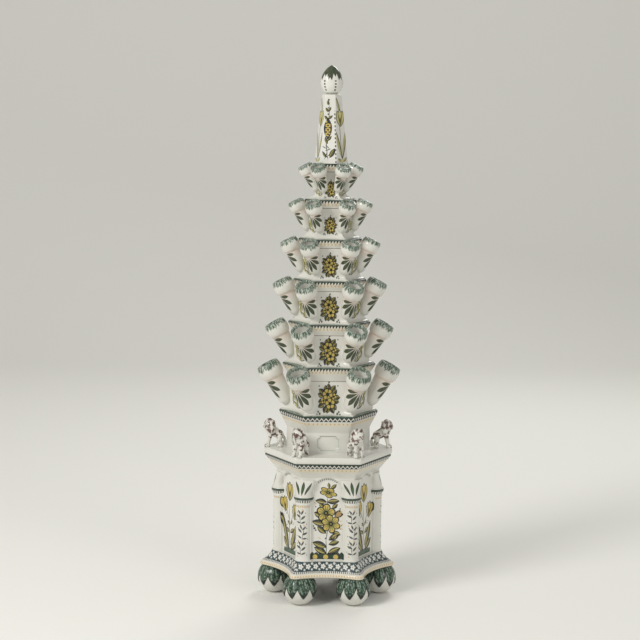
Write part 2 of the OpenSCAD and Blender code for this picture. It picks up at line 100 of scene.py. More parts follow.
class Glaze:  # a material in the making: colour so far, and the one way to add nodes
    def __init__(self, name, colour="white"):
        self.material = bpy.data.materials.new(name)
        self.material.use_nodes = True
        self.tree = self.material.node_tree
        self.shader = self.tree.nodes["Principled BSDF"]
        self.u, self.v, self.tag = self.split(self.add("Attribute", {"attribute_name": "paintAt"}, {}, 1))
        self.at = self.join(self.u, self.v)
        self.place = self.add("TexCoord", {}, {}, 3)
        self.wobble = self.noise(self.place, grain["wobble"], 2)  # brush edges are never quite straight
        self.thin = self.noise(self.place, grain["thin"], 3).soft(0.30, 0.72)  # pigment lies thin in places
        cloud = self.noise(self.place, grain["cloud"], 4)
        self.colour = self.mix(cloud.soft(0.38, 0.70), tint[colour], tint["milk"])
        speck = self.noise(self.place, grain["speck"], 1).soft(0.735, 0.775)
        self.colour = self.mix(speck * 0.55, self.colour, tint["pit"])
        self.ink = None

    def add(self, kind, settings, sockets, out=0):
        node = self.tree.nodes.new("ShaderNode" + kind)
        for key, value in settings.items():
            setattr(node, key, value)
        for key, value in sockets.items():
            if isinstance(value, Tone):
                self.tree.links.new(value.socket, node.inputs[key])
            else:
                node.inputs[key].default_value = value
        return Tone(self, node.outputs[out])

    def split(self, vector):
        first = self.add("SeparateXYZ", {}, {0: vector})
        return [Tone(self, socket) for socket in first.socket.node.outputs]

    def join(self, x, y, z=0.0):
        return self.add("CombineXYZ", {}, {0: x, 1: y, 2: z})

    def noise(self, at, scale, detail=2):
        return self.add("TexNoise", {}, {"Vector": at, "Scale": scale, "Detail": detail})

    def mix(self, share, under, over):
        return self.add("Mix", {"data_type": "RGBA"}, {0: share, 6: under, 7: over}, 2)

    def lay(self, field, colour, edge=0.35, load=1.0):  # one coat of pigment where field is over 0
        mask = (field + (self.wobble - 0.5) * edge * 1.6).soft(-edge, edge)
        mask = mask * (load * 0.92 + self.thin * (load * 0.08))
        self.colour = self.mix(mask, self.colour, tint[colour])
        self.ink = joined(self.ink, mask)

    def map(self, x, y, turn, wide, tall):  # paint coordinates about a point, turned and scaled
        return self.add("Mapping", {"vector_type": "TEXTURE"}, {
            "Vector": self.at, "Location": (x, y, 0), "Rotation": (0, 0, math.radians(turn)), "Scale": (wide, tall, 1)})

    def far(self, point, centre=(0, 0, 0)):
        return self.add("VectorMath", {"operation": "DISTANCE"}, {0: point, 1: centre}, 1)

    def fire(self, rough=0.14, gloss=0.16):  # surface of the fired glaze, then the links
        fine = self.noise(self.place, grain["wobble"], 1) * 0.12
        ripple = self.noise(self.place, grain["ripple"], 3) * 0.8 + fine
        roughness = self.noise(self.place, grain["rough"], 3) * 0.10 + rough
        if self.ink is not None:
            roughness = roughness + self.ink * 0.05
        bump = self.add("Bump", {}, {"Strength": 0.30, "Distance": 0.0007, "Height": ripple})
        for key, value in (("Base Color", self.colour), ("Roughness", roughness), ("Normal", bump)):
            self.tree.links.new(value.socket, self.shader.inputs[key])
        self.shader.inputs["Coat Weight"].default_value = gloss
        self.shader.inputs["Coat Roughness"].default_value = 0.06
        self.shader.inputs["Specular IOR Level"].default_value = 0.30
        return self

    # brush strokes, in millimetres inside the edge of the shape
    def leaf(self, x, y, turn, length, width, kind="leaf"):
        along, across = self.split(self.map(x, y, turn, length, length))[:2]
        if kind == "leaf":
            body = along * (1 - along) * 4
        else:  # a club, fat towards its far end
            body = along * abs(along) * (1 - along) * 6.75
        return (body * (width / length / 2) - abs(across)) * length

    def leaves(self, strokes):
        field = None
        for stroke in strokes:
            field = joined(field, self.leaf(*stroke))
        return field

    def dots(self, spots):
        field = None
        for x, y, size in spots:
            field = joined(field, size - self.far(self.at, (x, y, 0)))
        return field

    def polar(self, x, y, turn, size, tall=1.0):
        spot = self.map(x, y, turn, size, size * tall)
        sx, sy = self.split(spot)[:2]
        return sx.calc("ARCTAN2", sy, sx), self.far(spot)

    def bloom(self, x, y, size, petals, turn, fill, tall=1.0):  # open flower with dark outline, shaded heart and eye
        angle, reach = self.polar(x, y, turn, size, tall)
        lobe = abs((angle * (petals / 2)).wave("COSINE"))
        edge = (lobe * 0.34 + 0.66 - reach) * size
        ray = abs((angle * (petals * 1.5)).wave("SINE"))
        self.lay(edge + size * 0.13, "deep", 0.3)
        self.lay(edge - size * 0.03, fill, 0.35)
        self.lay((0.62 - reach) * size, "straw", size * 0.16, 0.9)
        self.lay((0.45 - reach) * size, "olive", size * 0.12, 0.55)
        self.lay((edge - size * 0.14) & (reach - 0.24) * size & (ray - 0.84) * size, "olive", 0.5, 0.7)
        self.lay((0.27 - lobe) * size * 0.5 & (reach - 0.15) * size & edge, "deep", 0.3, 0.9)
        self.lay((0.27 - reach) * size & (reach - 0.10) * size, "deep", 0.3)

    def posy(self, x, y, size, petals, turn, fill="yellow"):  # small flower of round petals about a dark eye
        angle, reach = self.polar(x, y, turn, size)
        part = 2 * math.pi / petals
        fold = ((angle / part) % 1.0 - 0.5) * part
        away = (reach * reach + 0.34 - fold.wave("COSINE") * reach * 1.16).wave("SQRT")
        edge = (0.37 - away) * size
        gap = (part / 2 - abs(fold)).wave("SINE") * reach
        self.lay(edge + size * 0.14, "deep", 0.25)
        self.lay(edge, fill, 0.25)
        self.lay((0.075 - gap) * size & (edge + size * 0.1), "deep", 0.22, 0.95)
        self.lay((0.34 - reach) * size, "deep", 0.25)

    def foliage(self, field, fat=1.0):  # leaves with a dark edge and a paler heart
        self.lay(field, "deep", 0.30)
        self.lay(field - 0.55 * fat, "green", 0.35, 0.95)
        self.lay(field - 1.5 * fat, "moss", 0.6, 0.75)

    def twoTone(self, strokes, fill="straw", rib=0.10, pale=0.42):  # dark leaves, part of each left pale, dark rib
        whole = hearts = ribs = None
        for x, y, turn, length, width in strokes:
            along, across = self.split(self.map(x, y, turn, length, length))[:2]
            body, half = along * (1 - along) * 4, width / length / 2
            whole = joined(whole, (body * half - abs(across)) * length)
            hearts = joined(hearts, ((body - 0.36) * (half * pale / 0.64) - abs(across - half * 0.2)) * length)
            ribs = joined(ribs, ((body - 0.12) * (half * rib / 0.88) - abs(across)) * length)
        self.lay(whole, "deep", 0.3)
        self.lay(hearts, fill, 0.35, 0.9)
        self.lay(ribs, "deep", 0.25)

    def tulip(self, x, y, turn, size, fill="yellow", line="deep"):  # closed tulip: three petals and their edges
        petals = [(x, y, turn + side * 15, size, size * 0.42) for side in (-1, 1)]
        edges = [(x, y, turn + side * 13, size * 0.95, size * 0.095) for side in (-1, 1)]
        cup = self.leaves(petals + [(x, y, turn, size * 1.06, size * 0.48)])
        self.lay(cup + size * 0.055, line, 0.3)
        self.lay(cup - size * 0.015, fill, 0.35)
        self.lay(self.leaves([(x, y, turn, size * 0.55, size * 0.34)]), "straw", 0.8, 0.8)
        self.lay(self.leaves(edges + [(x, y, turn, size * 0.62, size * 0.13)]), line, 0.3, 0.9)


def plainGlaze(name, colour="white"):
    return Glaze(name, colour).fire()


glazePlain = plainGlaze("tinGlazePlain")
# the insides are glazed grey: painted shade in the hollows and inside the spouts' cups
glazeInsideShaded = plainGlaze("tinGlazeInsideShaded", "insideShadeGrey")


def bouquetGlaze():  # round-petalled yellow flowers in dark leaves; the tag is half the bouquet's width
    g = Glaze("bouquetGlaze")
    size = 10.0  # painted at this half width, then scaled by the tag
    g.at = g.join(g.u / g.tag * size, g.v / g.tag * size * 0.88, 0.0)
    ring, leafCount = [], 14
    for n in range(leafCount):
        a = 2 * math.pi * (n + 0.4) / leafCount
        turn, length = math.degrees(a) + (-9, 7)[n % 2], (6.6, 5.8, 7.2)[n % 3]
        ring.append((4.0 * math.cos(a), 6.0 * math.sin(a), turn, length, 4.6))
    g.twoTone(ring, "leafGold", 0.16)
    g.lay(g.dots(((0, 0, 4.4), (-1.2, 4.2, 4.6), (1.4, -4.2, 4.6))), "deep", 0.5)
    g.posy(-4.6, -1.6, 2.5, 4, 10)
    g.posy(4.7, 1.9, 2.6, 4, 30)
    g.posy(-0.9, 3.6, 4.7, 6, 20)
    g.posy(1.4, -3.9, 4.5, 5, -10)
    g.lay(g.dots(((-9.4, -10.4, 0.8), (-8.0, -11.8, 0.9), (-10.4, -12.2, 0.7), (9.4, -10.4, 0.8), (8.0, -11.8, 0.9),
                  (10.4, -12.2, 0.7), (-8.6, 10.4, 0.6), (8.4, 10.6, 0.6), (0.3, 13.4, 0.8))), "green", 0.25)
    return g.fire()


def tulipGlaze():  # spray of pale tulips low on the side; the tag sets its size
    g = Glaze("tulipSprayGlaze")
    size = 14.0
    g.at = g.join(g.u / g.tag * size, g.v / g.tag * size + 1.5, 0.0)
    g.lay(g.leaves([(0, -15, 92, 18, 1.2), (-0.4, -13, 122, 17, 1.1), (0.4, -13, 58, 17, 1.1)]), "olive", 0.25)
    g.twoTone([(0, -15, 150, 15, 4.2), (0, -15, 30, 15, 4.2), (-2, -13, 112, 17, 4.4), (2, -13, 68, 17, 4.4),
               (0, -9, 100, 12, 3.4), (-9, -6, 118, 12, 3.6), (9, -6, 62, 12, 3.6), (-13, -12, 100, 13, 3.4),
               (13, -12, 80, 13, 3.4)], "lemon", 0.06, 0.6)
    for x, y, turn, tall in ((0.2, 2.4, 90, 11.5), (-8.5, 0.5, 112, 11.0), (8.5, 0.5, 68, 11.0),
                             (-14.0, 0.0, 100, 9.5), (14.0, 0.0, 80, 9.5)):
        g.tulip(x, y, turn, tall, "lemon", "olive")
    return g.fire()


def rimGlaze(name, pitch, tick, dots):  # edge line, hanging ticks and ochre dots; the tag is the band's height
    g = Glaze(name)
    down = -g.v
    warm = down.soft(2.0, 5.0) * (1 - down.soft(dots + 2.0, dots + 5.0))
    g.colour = g.mix(warm * 0.38, g.colour, tint["cream"])
    g.lay((tick + 1.2 - down) * 0.48 - (g.u + down * 0.25).beat(pitch) & (down - 0.8), "deep", 0.3)
    g.lay(1.25 - abs(down - 0.7), "green", 0.4)
    g.lay(1.8 - g.u.beat(pitch * 1.2) * (1.1 / 1.2) - abs(down - dots) * 0.8, "ochre", 0.45, 0.85)
    # brown line along the foot of the band: painted shade in the crease where the band leaves the wall
    g.lay(1.0 - abs(down - g.tag), "brown", 0.3)
    return g.fire()


def spoutGlaze():  # green dripping lip, ring under the head, fan of strokes; one unit is the mouth's diameter
    g = Glaze("spoutGlaze")
    mouth = 40  # the strokes are drawn in millimetres for a mouth of this size
    g.colour = g.mix((g.v.soft(0.52, 0.78) * (1 - g.v.soft(0.84, 1.3))) * 0.50, g.colour, tint["flesh"])
    circle = g.join((g.u.wave("COSINE") * 3.0) + g.tag * 7.3, g.u.wave("SINE") * 3.0, g.v * 0.9)
    streak = g.noise(circle, 2.8, 3)
    drip = g.noise(circle, 1.0, 2)
    fleck = g.noise(circle, 5.0, 2)
    reach = streak * 0.52 + drip * 0.30 - 0.20
    wet = (reach - g.v) * mouth
    g.lay(wet + 1.2, "wash", 2.6, 0.8)
    g.lay(wet & (streak - 0.45) * 50, "fern", 2.2, 0.85)
    g.lay((wet + 0.3) & (0.10 + streak * 0.3 - wet / mouth) * mouth & (fleck - 0.50) * mouth, "green", 2.2, 0.65)
    g.lay((wet - 1.6) & (0.45 - fleck) * mouth, "milk", 1.6, 0.65)
    g.lay((0.014 - abs(g.v - 0.020)) * mouth & (drip - 0.42) * mouth, "fern", 0.5, 0.7)
    g.lay((0.011 - abs(g.v - 0.79)) * mouth, "flesh", 0.5, 0.9)
    g.at = g.join(g.u * 0.45 * mouth, (g.v - 0.80) * -mouth, 0.0)  # laid out flat
    fan = [(x, -1.0, -90 + turn, length, width, "club") for x, turn, length, width in (
        (0, 0, 42, 10.0), (0.8, 23, 41, 10.0), (-0.8, -23, 41, 10.0), (1.6, 48, 36, 9.4), (-1.6, -48, 36, 9.4),
        (2.4, 78, 26, 8.0), (-2.4, -78, 26, 8.0))]
    field = g.leaves(fan)
    g.lay(field, "olive", 0.35)
    g.lay(field - 1.0, "green", 0.7, 0.5)
    return g.fire(0.12, 0.20)


glazeBouquet = bouquetGlaze()
glazeTulip = tulipGlaze()
glazeRim = rimGlaze("rimBandGlaze", 6.2, 6.2, 9.4)
glazeSpout = spoutGlaze()
print("tier and spout glazes mixed")


def edgeGlaze(name, pitch, tall, dots):  # edge line, white zigzag in a dark band, ochre dots on a cream one
    g = Glaze(name)
    down = -g.v
    band = down.soft(dots - 3.5, dots - 1.5) * (1 - down.soft(dots + 3.0, dots + 6.0))
    g.colour = g.mix(band * 0.6, g.colour, tint["cream"])
    saw = g.u.beat(pitch) * (1.24 * tall / pitch)
    g.lay((abs(down - saw - 3.8) - 1.5) & (tall + 1.6 - down), "deep", 0.35)
    g.lay(1.5 - abs(down - 0.8), "green", 0.4)
    g.lay(1.9 - g.u.beat(pitch * 0.95) - abs(down - dots) * 0.8, "ochre", 0.5, 0.85)
    return g.fire()


def rimTopGlaze():  # green wash on the upper side of a rim
    g = Glaze("rimTopGlaze")
    vein = g.noise(g.place, 210, 4)
    g.lay(vein - 0.18, "wash", 0.35, 0.95)
    g.lay(vein - 0.50, "green", 0.16, 0.9)
    return g.fire()


def drumGlaze():  # plain drum; the edge of its sunk panel takes a little green
    g = Glaze("drumGlaze")
    x, y = abs(g.u) - 22.0, abs(g.v) - 15.5
    away = (x | y) | (6.0 - g.far(g.join(x, y)))
    g.lay(0.8 - abs(away + 0.6), "wash", 0.8, 0.6)
    return g.fire()


def plinthGlaze():  # dark band full of white blossoms over a dotted rolled edge
    g = Glaze("plinthGlaze")
    pitch = 15.2
    g.colour = g.mix((1 - g.v.soft(8.2, 9.6)) * 0.6, g.colour, tint["cream"])
    g.lay(1.0 - g.v, "green", 0.9)
    g.lay(1.7 - g.u.beat(5.6) - abs(g.v - 5.6) * 0.8, "ochre", 0.5, 0.85)
    g.lay((1.0 - g.u.beat(4.0)) & (1.7 - abs(g.v - 12.0)), "deep", 0.35, 0.9)
    g.lay((g.v - 13.8) & (32.4 - g.v), "teal", 0.4)
    blooms = None
    for shift, height, size in ((0.0, 22.8, 5.4), (0.5, 28.6, 2.9), (0.5, 17.4, 2.3)):
        x = ((g.u / pitch + shift) % 1.0 - 0.5) * pitch
        y = g.v - height
        reach = g.far(g.join(x, y))
        lobe = abs((x.calc("ARCTAN2", y, x) * 2.5 + shift).wave("COSINE"))
        one = (lobe * 0.46 + 0.54) * size - reach & reach - size * 0.16
        blooms = joined(blooms, one)
    g.lay(blooms & (g.v - 14.8) & (31.6 - g.v), "milk", 0.35)
    return g.fire()


def archTicks(g):  # small dark ticks under the arch of a panel
    spring, radius, pitch = 140.0, 31.0, 4.6
    rise = g.v - spring
    reach = g.far(g.join(g.u, rise))
    angle = g.u.calc("ARCTAN2", g.u, rise)
    inArch = (0.72 - abs(angle)) * 30.0
    tick = (angle * radius).beat(pitch)
    g.lay((0.95 - tick) & (1.9 - abs(reach - (radius - 0.8))) & inArch & rise, "green", 0.35, 0.8)


def roseGlaze():  # climbing roses on a mound
    g = Glaze("rosePanelGlaze")
    archTicks(g)
    g.lay(g.leaves([(-1, 8, 92, 40, 1.6), (-2, 40, 84, 44, 1.6), (3, 66, 96, 34, 1.5), (-1, 95, 88, 40, 1.5),
                    (1, 130, 66, 26, 1.3)]), "deep", 0.3)
    mound = (13.5 - g.v + abs((g.u * 0.36).wave("SINE")) * 3.4) & (35 - abs(g.u)) & (g.v - 2.0)
    g.lay(mound, "deep", 0.5)
    g.lay(mound - 1.0 + (g.thin - 0.5) * 1.2, "green", 0.6, 0.7)
    for x in (-24.5, -2.6, 18.0):
        g.lay(g.dots(((x, 6.8, 5.0),)) & (g.v - 2.6), "yellow", 0.5)
        g.lay(g.dots(((x - 1.4, 5.4, 2.4),)) & (g.v - 2.6), "ochre", 0.6, 0.6)
    g.twoTone([(-1, 14, 152, 29, 14), (1, 13, 26, 30, 14), (0, 27, 160, 32, 15), (3, 33, 16, 23, 11),
               (3, 42, 32, 26, 13), (-2, 56, 140, 24, 13), (-3, 75, 166, 29, 14), (-8, 90, 150, 22, 13),
               (9, 60, -20, 20, 11), (16, 88, 60, 21, 12), (-1, 122, 172, 24, 12), (-1, 122, 6, 26, 12),
               (6, 148, 42, 17, 8), (4, 150, 100, 13, 6), (16, 92, 20, 18, 10), (-6, 108, 130, 16, 10),
               (9, 108, 40, 16, 9)])
    g.bloom(-2.9, 99, 18.0, 5, 12, "yellow")
    g.bloom(7.3, 76.4, 18.4, 6, 40, "yellow")
    g.bloom(1.5, 142, 17.0, 5, -18, "yellow", 0.58)
    bud = g.leaves([(18, 90, 48, 16, 9), (18, 90, 66, 15, 8), (18, 91, 30, 14, 7)])
    g.lay(bud, "deep", 0.35)
    g.lay(bud - 1.0, "ochre", 0.5, 0.7)
    g.lay(g.dots(((-26, 67, 2.2), (-23.5, 63.0, 1.7), (-28, 71.5, 1.5), (29, 73, 1.4), (27.5, 66, 1.3),
                  (26, 108, 1.4), (-24, 112, 1.3), (8, 47, 1.9), (10, 50.5, 1.4), (-3, 46, 1.6))), "deep", 0.4)
    g.lay(g.leaves([(24, 72, 24, 10, 1.8), (23, 67, -8, 10, 1.8), (24, 79, 40, 8, 1.6), (-22, 118, 150, 8, 1.5),
                    (24, 100, 30, 8, 1.5), (-12, 44, 150, 9, 1.5), (15, 44, 60, 8, 1.5)]), "ochre", 0.3)
    return g.fire()


def tulipPanelGlaze():  # three tulips on tall leaves
    g = Glaze("tulipPanelGlaze")
    archTicks(g)
    g.lay(g.leaves([(-2, 8, 92, 108, 2.2), (-3, 70, 118, 36, 1.7), (-2, 60, 62, 34, 1.7)]), "olive", 0.35)
    mound = (12.0 - g.v - abs(g.u) * 0.10 + abs((g.u * 0.5).wave("SINE")) * 2.4) & (26 - abs(g.u)) & (g.v - 2.0)
    g.lay(mound, "green", 0.5)
    g.lay(mound - 1.6, "fern", 0.8, 0.6)
    g.twoTone([(-4, 8, 112, 86, 15), (4, 8, 70, 66, 15), (-6, 10, 132, 32, 12), (6, 10, 46, 32, 12),
               (-2, 46, 150, 18, 8), (0, 46, 34, 20, 9), (-1, 62, 140, 13, 6), (0, 64, 46, 13, 6),
               (2, 20, 60, 28, 11)], "straw", 0.06)
    for x, y, turn, size in ((-3, 114, 90, 36), (-20, 88, 100, 30), (18, 78, 80, 31)):
        g.tulip(x, y, turn, size)
    g.lay(g.dots(((-14, 60, 1.6), (-10, 66, 1.4), (12, 66, 1.5), (16, 70, 1.3), (8, 102, 1.4),
                  (-16, 84, 1.4))), "deep", 0.4)
    return g.fire()


def columnGlaze():  # sprigs up the outer line, banded capital, three leaves over it
    g = Glaze("columnGlaze")
    for x, y, lean in ((-1.5, 90, 8), (1.0, 58, -10), (-0.5, 25, 8)):
        g.lay(g.leaves([(x, y - 15, 90 + lean, 32, 1.3), (x, y + 2, 146 + lean, 13, 4.4),
                        (x, y - 3, 34 + lean, 13, 4.4), (x, y + 9, 124 + lean, 11, 3.8),
                        (x, y + 7, 52 + lean, 12, 3.8), (x, y - 10, 160 + lean, 11, 3.6),
                        (x, y - 11, 16 + lean, 11, 3.6)]), "deep", 0.3, 0.92)
        g.lay(g.dots(((x - 9, y + 12, 1.2), (x + 10, y + 11, 1.2), (x + 12, y - 12, 1.1), (x - 12, y - 5, 1.1))),
              "teal", 0.3, 0.85)
        g.lay(g.dots(((x + 4, y + 17, 1.8), (x - 8, y - 15, 1.7))), "ochre", 0.35, 0.8)
    beat = g.u.beat(4.6)
    g.lay((1.6 - beat) & (1.6 - abs(g.v - 114.0)), "ochre", 0.5, 0.9)
    g.lay((1.1 - beat) & (2.8 - abs(g.v - 125.0)), "deep", 0.35, 0.9)
    g.lay(2.5 - abs(g.v - 130.6), "green", 0.5)
    fan = [(0, 137, 90, 29, 5.4), (-5.5, 138, 106, 28, 5.4), (5.5, 138, 74, 28, 5.4)]
    g.foliage(g.leaves(fan), 0.9)
    return g.fire()


def footGlaze():  # white ball under green leaves with pale veins that are partly painted highlight, and near-black tips; u is -1 to 1 over a leaf
    g = Glaze("footGlaze")
    edge = g.add("Math", {"operation": "POWER"}, {0: abs(g.u), 1: 1.35}) * 20.0 + 18.0
    over = g.v - edge
    vein = g.noise(g.place, 240, 4)
    ribs = abs((g.u * 7.0 + g.v * 0.12).wave("SINE"))
    g.lay(over, "fern", 0.6)
    g.lay((over - 1.0) & (0.52 - vein) * 14.0, "green", 1.0, 0.95)
    # pale streaks along the ribs: painted veins and painted highlight on the raised leaves
    g.lay((over - 3.0) & (ribs - 0.62) * 9.0 & (vein - 0.48) * 16.0, "wash", 0.9, 0.9)
    g.lay((over - 1.0) & (0.10 - abs(g.u)) * 12.0, "deep", 0.5, 0.8)
    g.lay((over + 0.2) & (31.0 - g.v) * 0.5 & (9.0 - over), "deep", 1.6, 0.9)
    g.lay((over + 0.3) & (1.6 - over), "deep", 0.5, 0.95)
    g.lay((abs(g.u) - 0.80) * 14.0 & (over - 0.5), "deep", 1.2, 0.7)
    return g.fire()


def chainGlaze():  # scrolls, a cluster of yellow flowers and small leaves, one above the other
    g = Glaze("obeliskChainGlaze")
    edge = 17.5 - g.v * (7.0 / 140.0) - g.u
    g.lay((1.3 - abs(edge - 2.0)) & (2.2 - g.v.beat(8.0)) & (106.0 - g.v) * 0.1, "deep", 0.35, 0.9)
    g.lay(g.leaves([(-2, 6, 96, 60, 1.5), (-3, 50, 88, 76, 1.4), (-4, 14, 40, 18, 1.8), (-4, 30, 150, 12, 1.6),
                    (0, 10, 130, 16, 1.8), (-9, 8, 70, 18, 1.8), (-8, 26, 20, 14, 1.7),
                    (2, 30, 140, 13, 1.7)]), "deep", 0.3)
    g.twoTone([(2, 12, 62, 22, 10), (-5, 12, 122, 16, 5), (-3, 40, 112, 15, 6), (-3, 46, 52, 13, 5),
               (-3, 88, 130, 12, 5.4), (-3, 90, 40, 12, 5.4), (-3, 104, 120, 11, 5), (-3, 105, 60, 11, 5),
               (-3, 118, 100, 10, 5.4)], "leafGold")
    g.lay(g.leaves([(-3, 49, 90, 44, 17)]), "deep", 0.4)
    seeds = [(-3.0 + side * 3.5, 57 + 4.4 * n + (n + side) % 2 * 1.2, 1.7) for n in range(7) for side in (-1, 0, 1)]
    g.lay(g.dots(seeds[:2] + seeds[3:-2]), "yellow", 0.3)
    g.lay(g.dots(seeds[4:18:5]), "ochre", 0.3)
    g.lay(g.dots(((-3, 100, 1.6), (-3, 113, 1.4), (-2.6, 129, 2.0))), "green", 0.35)
    return g.fire()


def obeliskTulipGlaze():  # pale tulip standing in long leaves
    g = Glaze("obeliskTulipGlaze")
    g.lay(g.leaves([(0, 6, 92, 100, 1.6), (0, 96, 84, 30, 1.2)]), "olive", 0.3)
    g.twoTone([(1, 8, 106, 66, 8.5), (1, 8, 76, 62, 8.5), (0, 104, 106, 32, 6.5), (-2, 4, 150, 13, 6),
               (2, 4, 34, 15, 6)], "lemon", 0.05, 0.66)
    g.lay(g.dots(((0, 6, 4.0),)), "lemon", 0.5)
    g.tulip(0.5, 76, 90, 31, "lemon", "olive")
    return g.fire()


def budGlaze():  # spiky green petals down from the tip, a row of dots between them; u is the angle
    g = Glaze("budGlaze")
    part = 2 * math.pi / 6
    cell = g.u.beat(part) / part
    spike = abs((g.u * (3 / part) + 0.5) % 1.0 - 0.5)
    petal = (g.v - 25.0 - cell * 22.0 - spike * 20.0) * 0.5
    vein = g.noise(g.join(g.u.wave("COSINE") * 3.0, g.u.wave("SINE") * 3.0, g.v * 0.03), 5.0, 3)
    g.lay(petal, "olive", 0.7)
    g.lay((petal - 1.0) & (vein - 0.50) * 16.0, "green", 0.8, 0.9)
    g.lay((petal + 0.2) & (1.2 - petal), "deep", 0.45, 0.9)
    aside = (0.5 - cell) * part * 22.0
    g.lay((1.9 - aside) & (1.7 - g.v.beat(6.0)) & (13.0 - abs(g.v - 18.0)), "deep", 0.4, 0.95)
    g.lay(1.0 - abs(g.v - 2.4), "wash", 0.5, 0.7)
    return g.fire()


def lionGlaze():  # white lion with blotches of purple-brown, dark eyes and nose
    g = Glaze("lionGlaze")
    blot = g.noise(g.place, 125, 2)
    fine = g.noise(g.place, 330, 3)
    onBack = g.tag.soft(14.0, 24.0)
    onHead = g.tag.soft(36.0, 48.0)
    wet = (blot - 0.585) + onBack * 0.05 + onHead * 0.045 + (fine - 0.5) * 0.26
    g.lay(wet * 10.0, "plum", 0.7, 0.9)
    g.lay((wet - 0.06) * 10.0, "brown", 0.6, 0.75)
    toes = 3.2 - g.tag
    g.lay((fine - 0.58) * 14.0 & toes, "deep", 0.6, 0.85)
    spot = g.join(g.u, g.v, g.tag)
    for x, y, z, size in ((17.4, 4.8, 47.0, 1.35), (17.4, -4.8, 47.0, 1.35), (22.6, 0.0, 43.0, 1.6),
                          (21.2, 2.6, 40.2, 0.7), (21.2, -2.6, 40.2, 0.7)):
        g.lay(size - g.far(spot, (x, y, z)), "deep", 0.3)
    return g.fire()


glazeCornice = edgeGlaze("corniceGlaze", 8.8, 8.8, 14.8)
glazeGalleryRim = edgeGlaze("galleryRimGlaze", 9.2, 9.2, 16.2)
glazeRimTop, glazeDrum, glazePlinth = rimTopGlaze(), drumGlaze(), plinthGlaze()
glazeRose, glazeTulipPanel, glazeColumn, glazeFoot = roseGlaze(), tulipPanelGlaze(), columnGlaze(), footGlaze()
glazeChain, glazeObeliskTulip, glazeBud, glazeLion = chainGlaze(), obeliskTulipGlaze(), budGlaze(), lionGlaze()
print("pedestal, gallery and top glazes mixed")


# clay: points, faces and paint coordinates of one piece
class Clay:
    def __init__(self):
        self.points, self.faces, self.paint, self.coats, self.glazes = [], [], [], [], []

    def coat(self, glaze):
        if glaze not in self.glazes:
            self.glazes.append(glaze)
        return self.glazes.index(glaze)

    def loft(self, rows, left, right, heights, strips, loop=False, ends=(None, None)):
        # strips: for each row, (glaze of a column, height where its paint starts, tag)
        base, (rowCount, columns) = len(self.points), rows.shape[:2]
        self.points.extend(rows.reshape(-1, 3).tolist())
        for i in range(rowCount if loop else rowCount - 1):
            n = (i + 1) % rowCount
            glazeOf, start, tag = strips[i]
            low, high = heights[i] - start, heights[n] - start
            for j in range(columns):
                m = (j + 1) % columns
                self.faces.append((base + i * columns + j, base + i * columns + m,
                                   base + n * columns + m, base + n * columns + j))
                self.paint += [(left[i, j], low, tag), (right[i, j], low, tag),
                               (right[n, j], high, tag), (left[n, j], high, tag)]
                self.coats.append(self.coat(glazeOf(j)))
        for end, i in zip(ends, (0, rowCount - 1)):
            if end is None:
                continue
            self.points.append(tuple(end))
            glazeOf, start, tag = strips[max(i - 1, 0)]
            for j in range(columns):
                a, b = base + i * columns + j, base + i * columns + (j + 1) % columns
                self.faces.append((b, a, len(self.points) - 1) if i == 0 else (a, b, len(self.points) - 1))
                self.paint += [(0.0, heights[i] - start, tag)] * 3
                self.coats.append(self.coat(glazeOf(j)))

    def make(self, name, body, slot, *nodes, sharp=38):
        mesh = bpy.data.meshes.new(name)
        mesh.from_pydata(self.points, [], self.faces)
        for glaze in self.glazes:
            mesh.materials.append(glaze.material)
        mesh.polygons.foreach_set("material_index", self.coats)
        layer = mesh.attributes.new("paintAt", "FLOAT_VECTOR", "CORNER")
        layer.data.foreach_set("vector", np.array(self.paint, dtype=np.float32).ravel())
        mesh.shade_smooth()
        mesh.set_sharp_from_angle(angle=math.radians(sharp))
        mesh.validate()
        settle(bpy.data.objects.new(name, mesh), body, nodes)


def settle(piece, body, nodes):
    bpy.context.scene.collection.objects.link(piece)
    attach(piece, body)
    if nodes:
        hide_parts(*nodes)


def atCorner(n, out, up):  # place of a piece on a corner, sizes in millimetres
    return Matrix.Rotation(n * 2 * halfSide, 4, "Z") @ Matrix.Translation((out * mm, 0, up * mm))


def moved(points, place):
    return np.array(points) @ np.array(place.to_3x3()).T + np.array(place.translation)


def softMin(a, b, k):
    h = np.clip(0.5 + 0.5 * (b - a) / k, 0, 1)
    return b + (a - b) * h - k * h * (1 - h)


def smooth(low, high, x):
    t = np.clip((x - low) / (high - low), 0, 1)
    return t * t * (3 - 2 * t)


def always(glaze):
    return lambda j: glaze


def byTurns(even, odd, per):  # even sides one glaze, odd sides the other
    return lambda j: even if (j // per) % 2 == 0 else odd


plainStrip, shadedInsideStrip, ledgeStrip = ((always(glaze), 0.0, 0.0) for glaze in (glazePlain, glazeInsideShaded, glazeRimTop))


def sideTurns(per):  # angles from the middle of a side, closer together near the corners
    t = np.linspace(-1, 1, per + 1)[:-1]
    return halfSide * (1.3 * t - 0.3 * t ** 3)


def hexReach(turn, corner, soft=2.0, bow=0.0):
    flat = corner * cosHalf
    reach = (flat - bow * (1 - (np.tan(turn) / math.tan(halfSide)) ** 2)) / np.cos(turn)
    middle = corner - soft / cosHalf
    away = halfSide - abs(turn)
    arc = middle * np.cos(away) + np.sqrt(np.maximum(soft ** 2 - (middle * np.sin(away)) ** 2, 0))
    return np.where(np.tan(abs(turn)) * flat > middle / 2, np.minimum(arc, reach), reach)


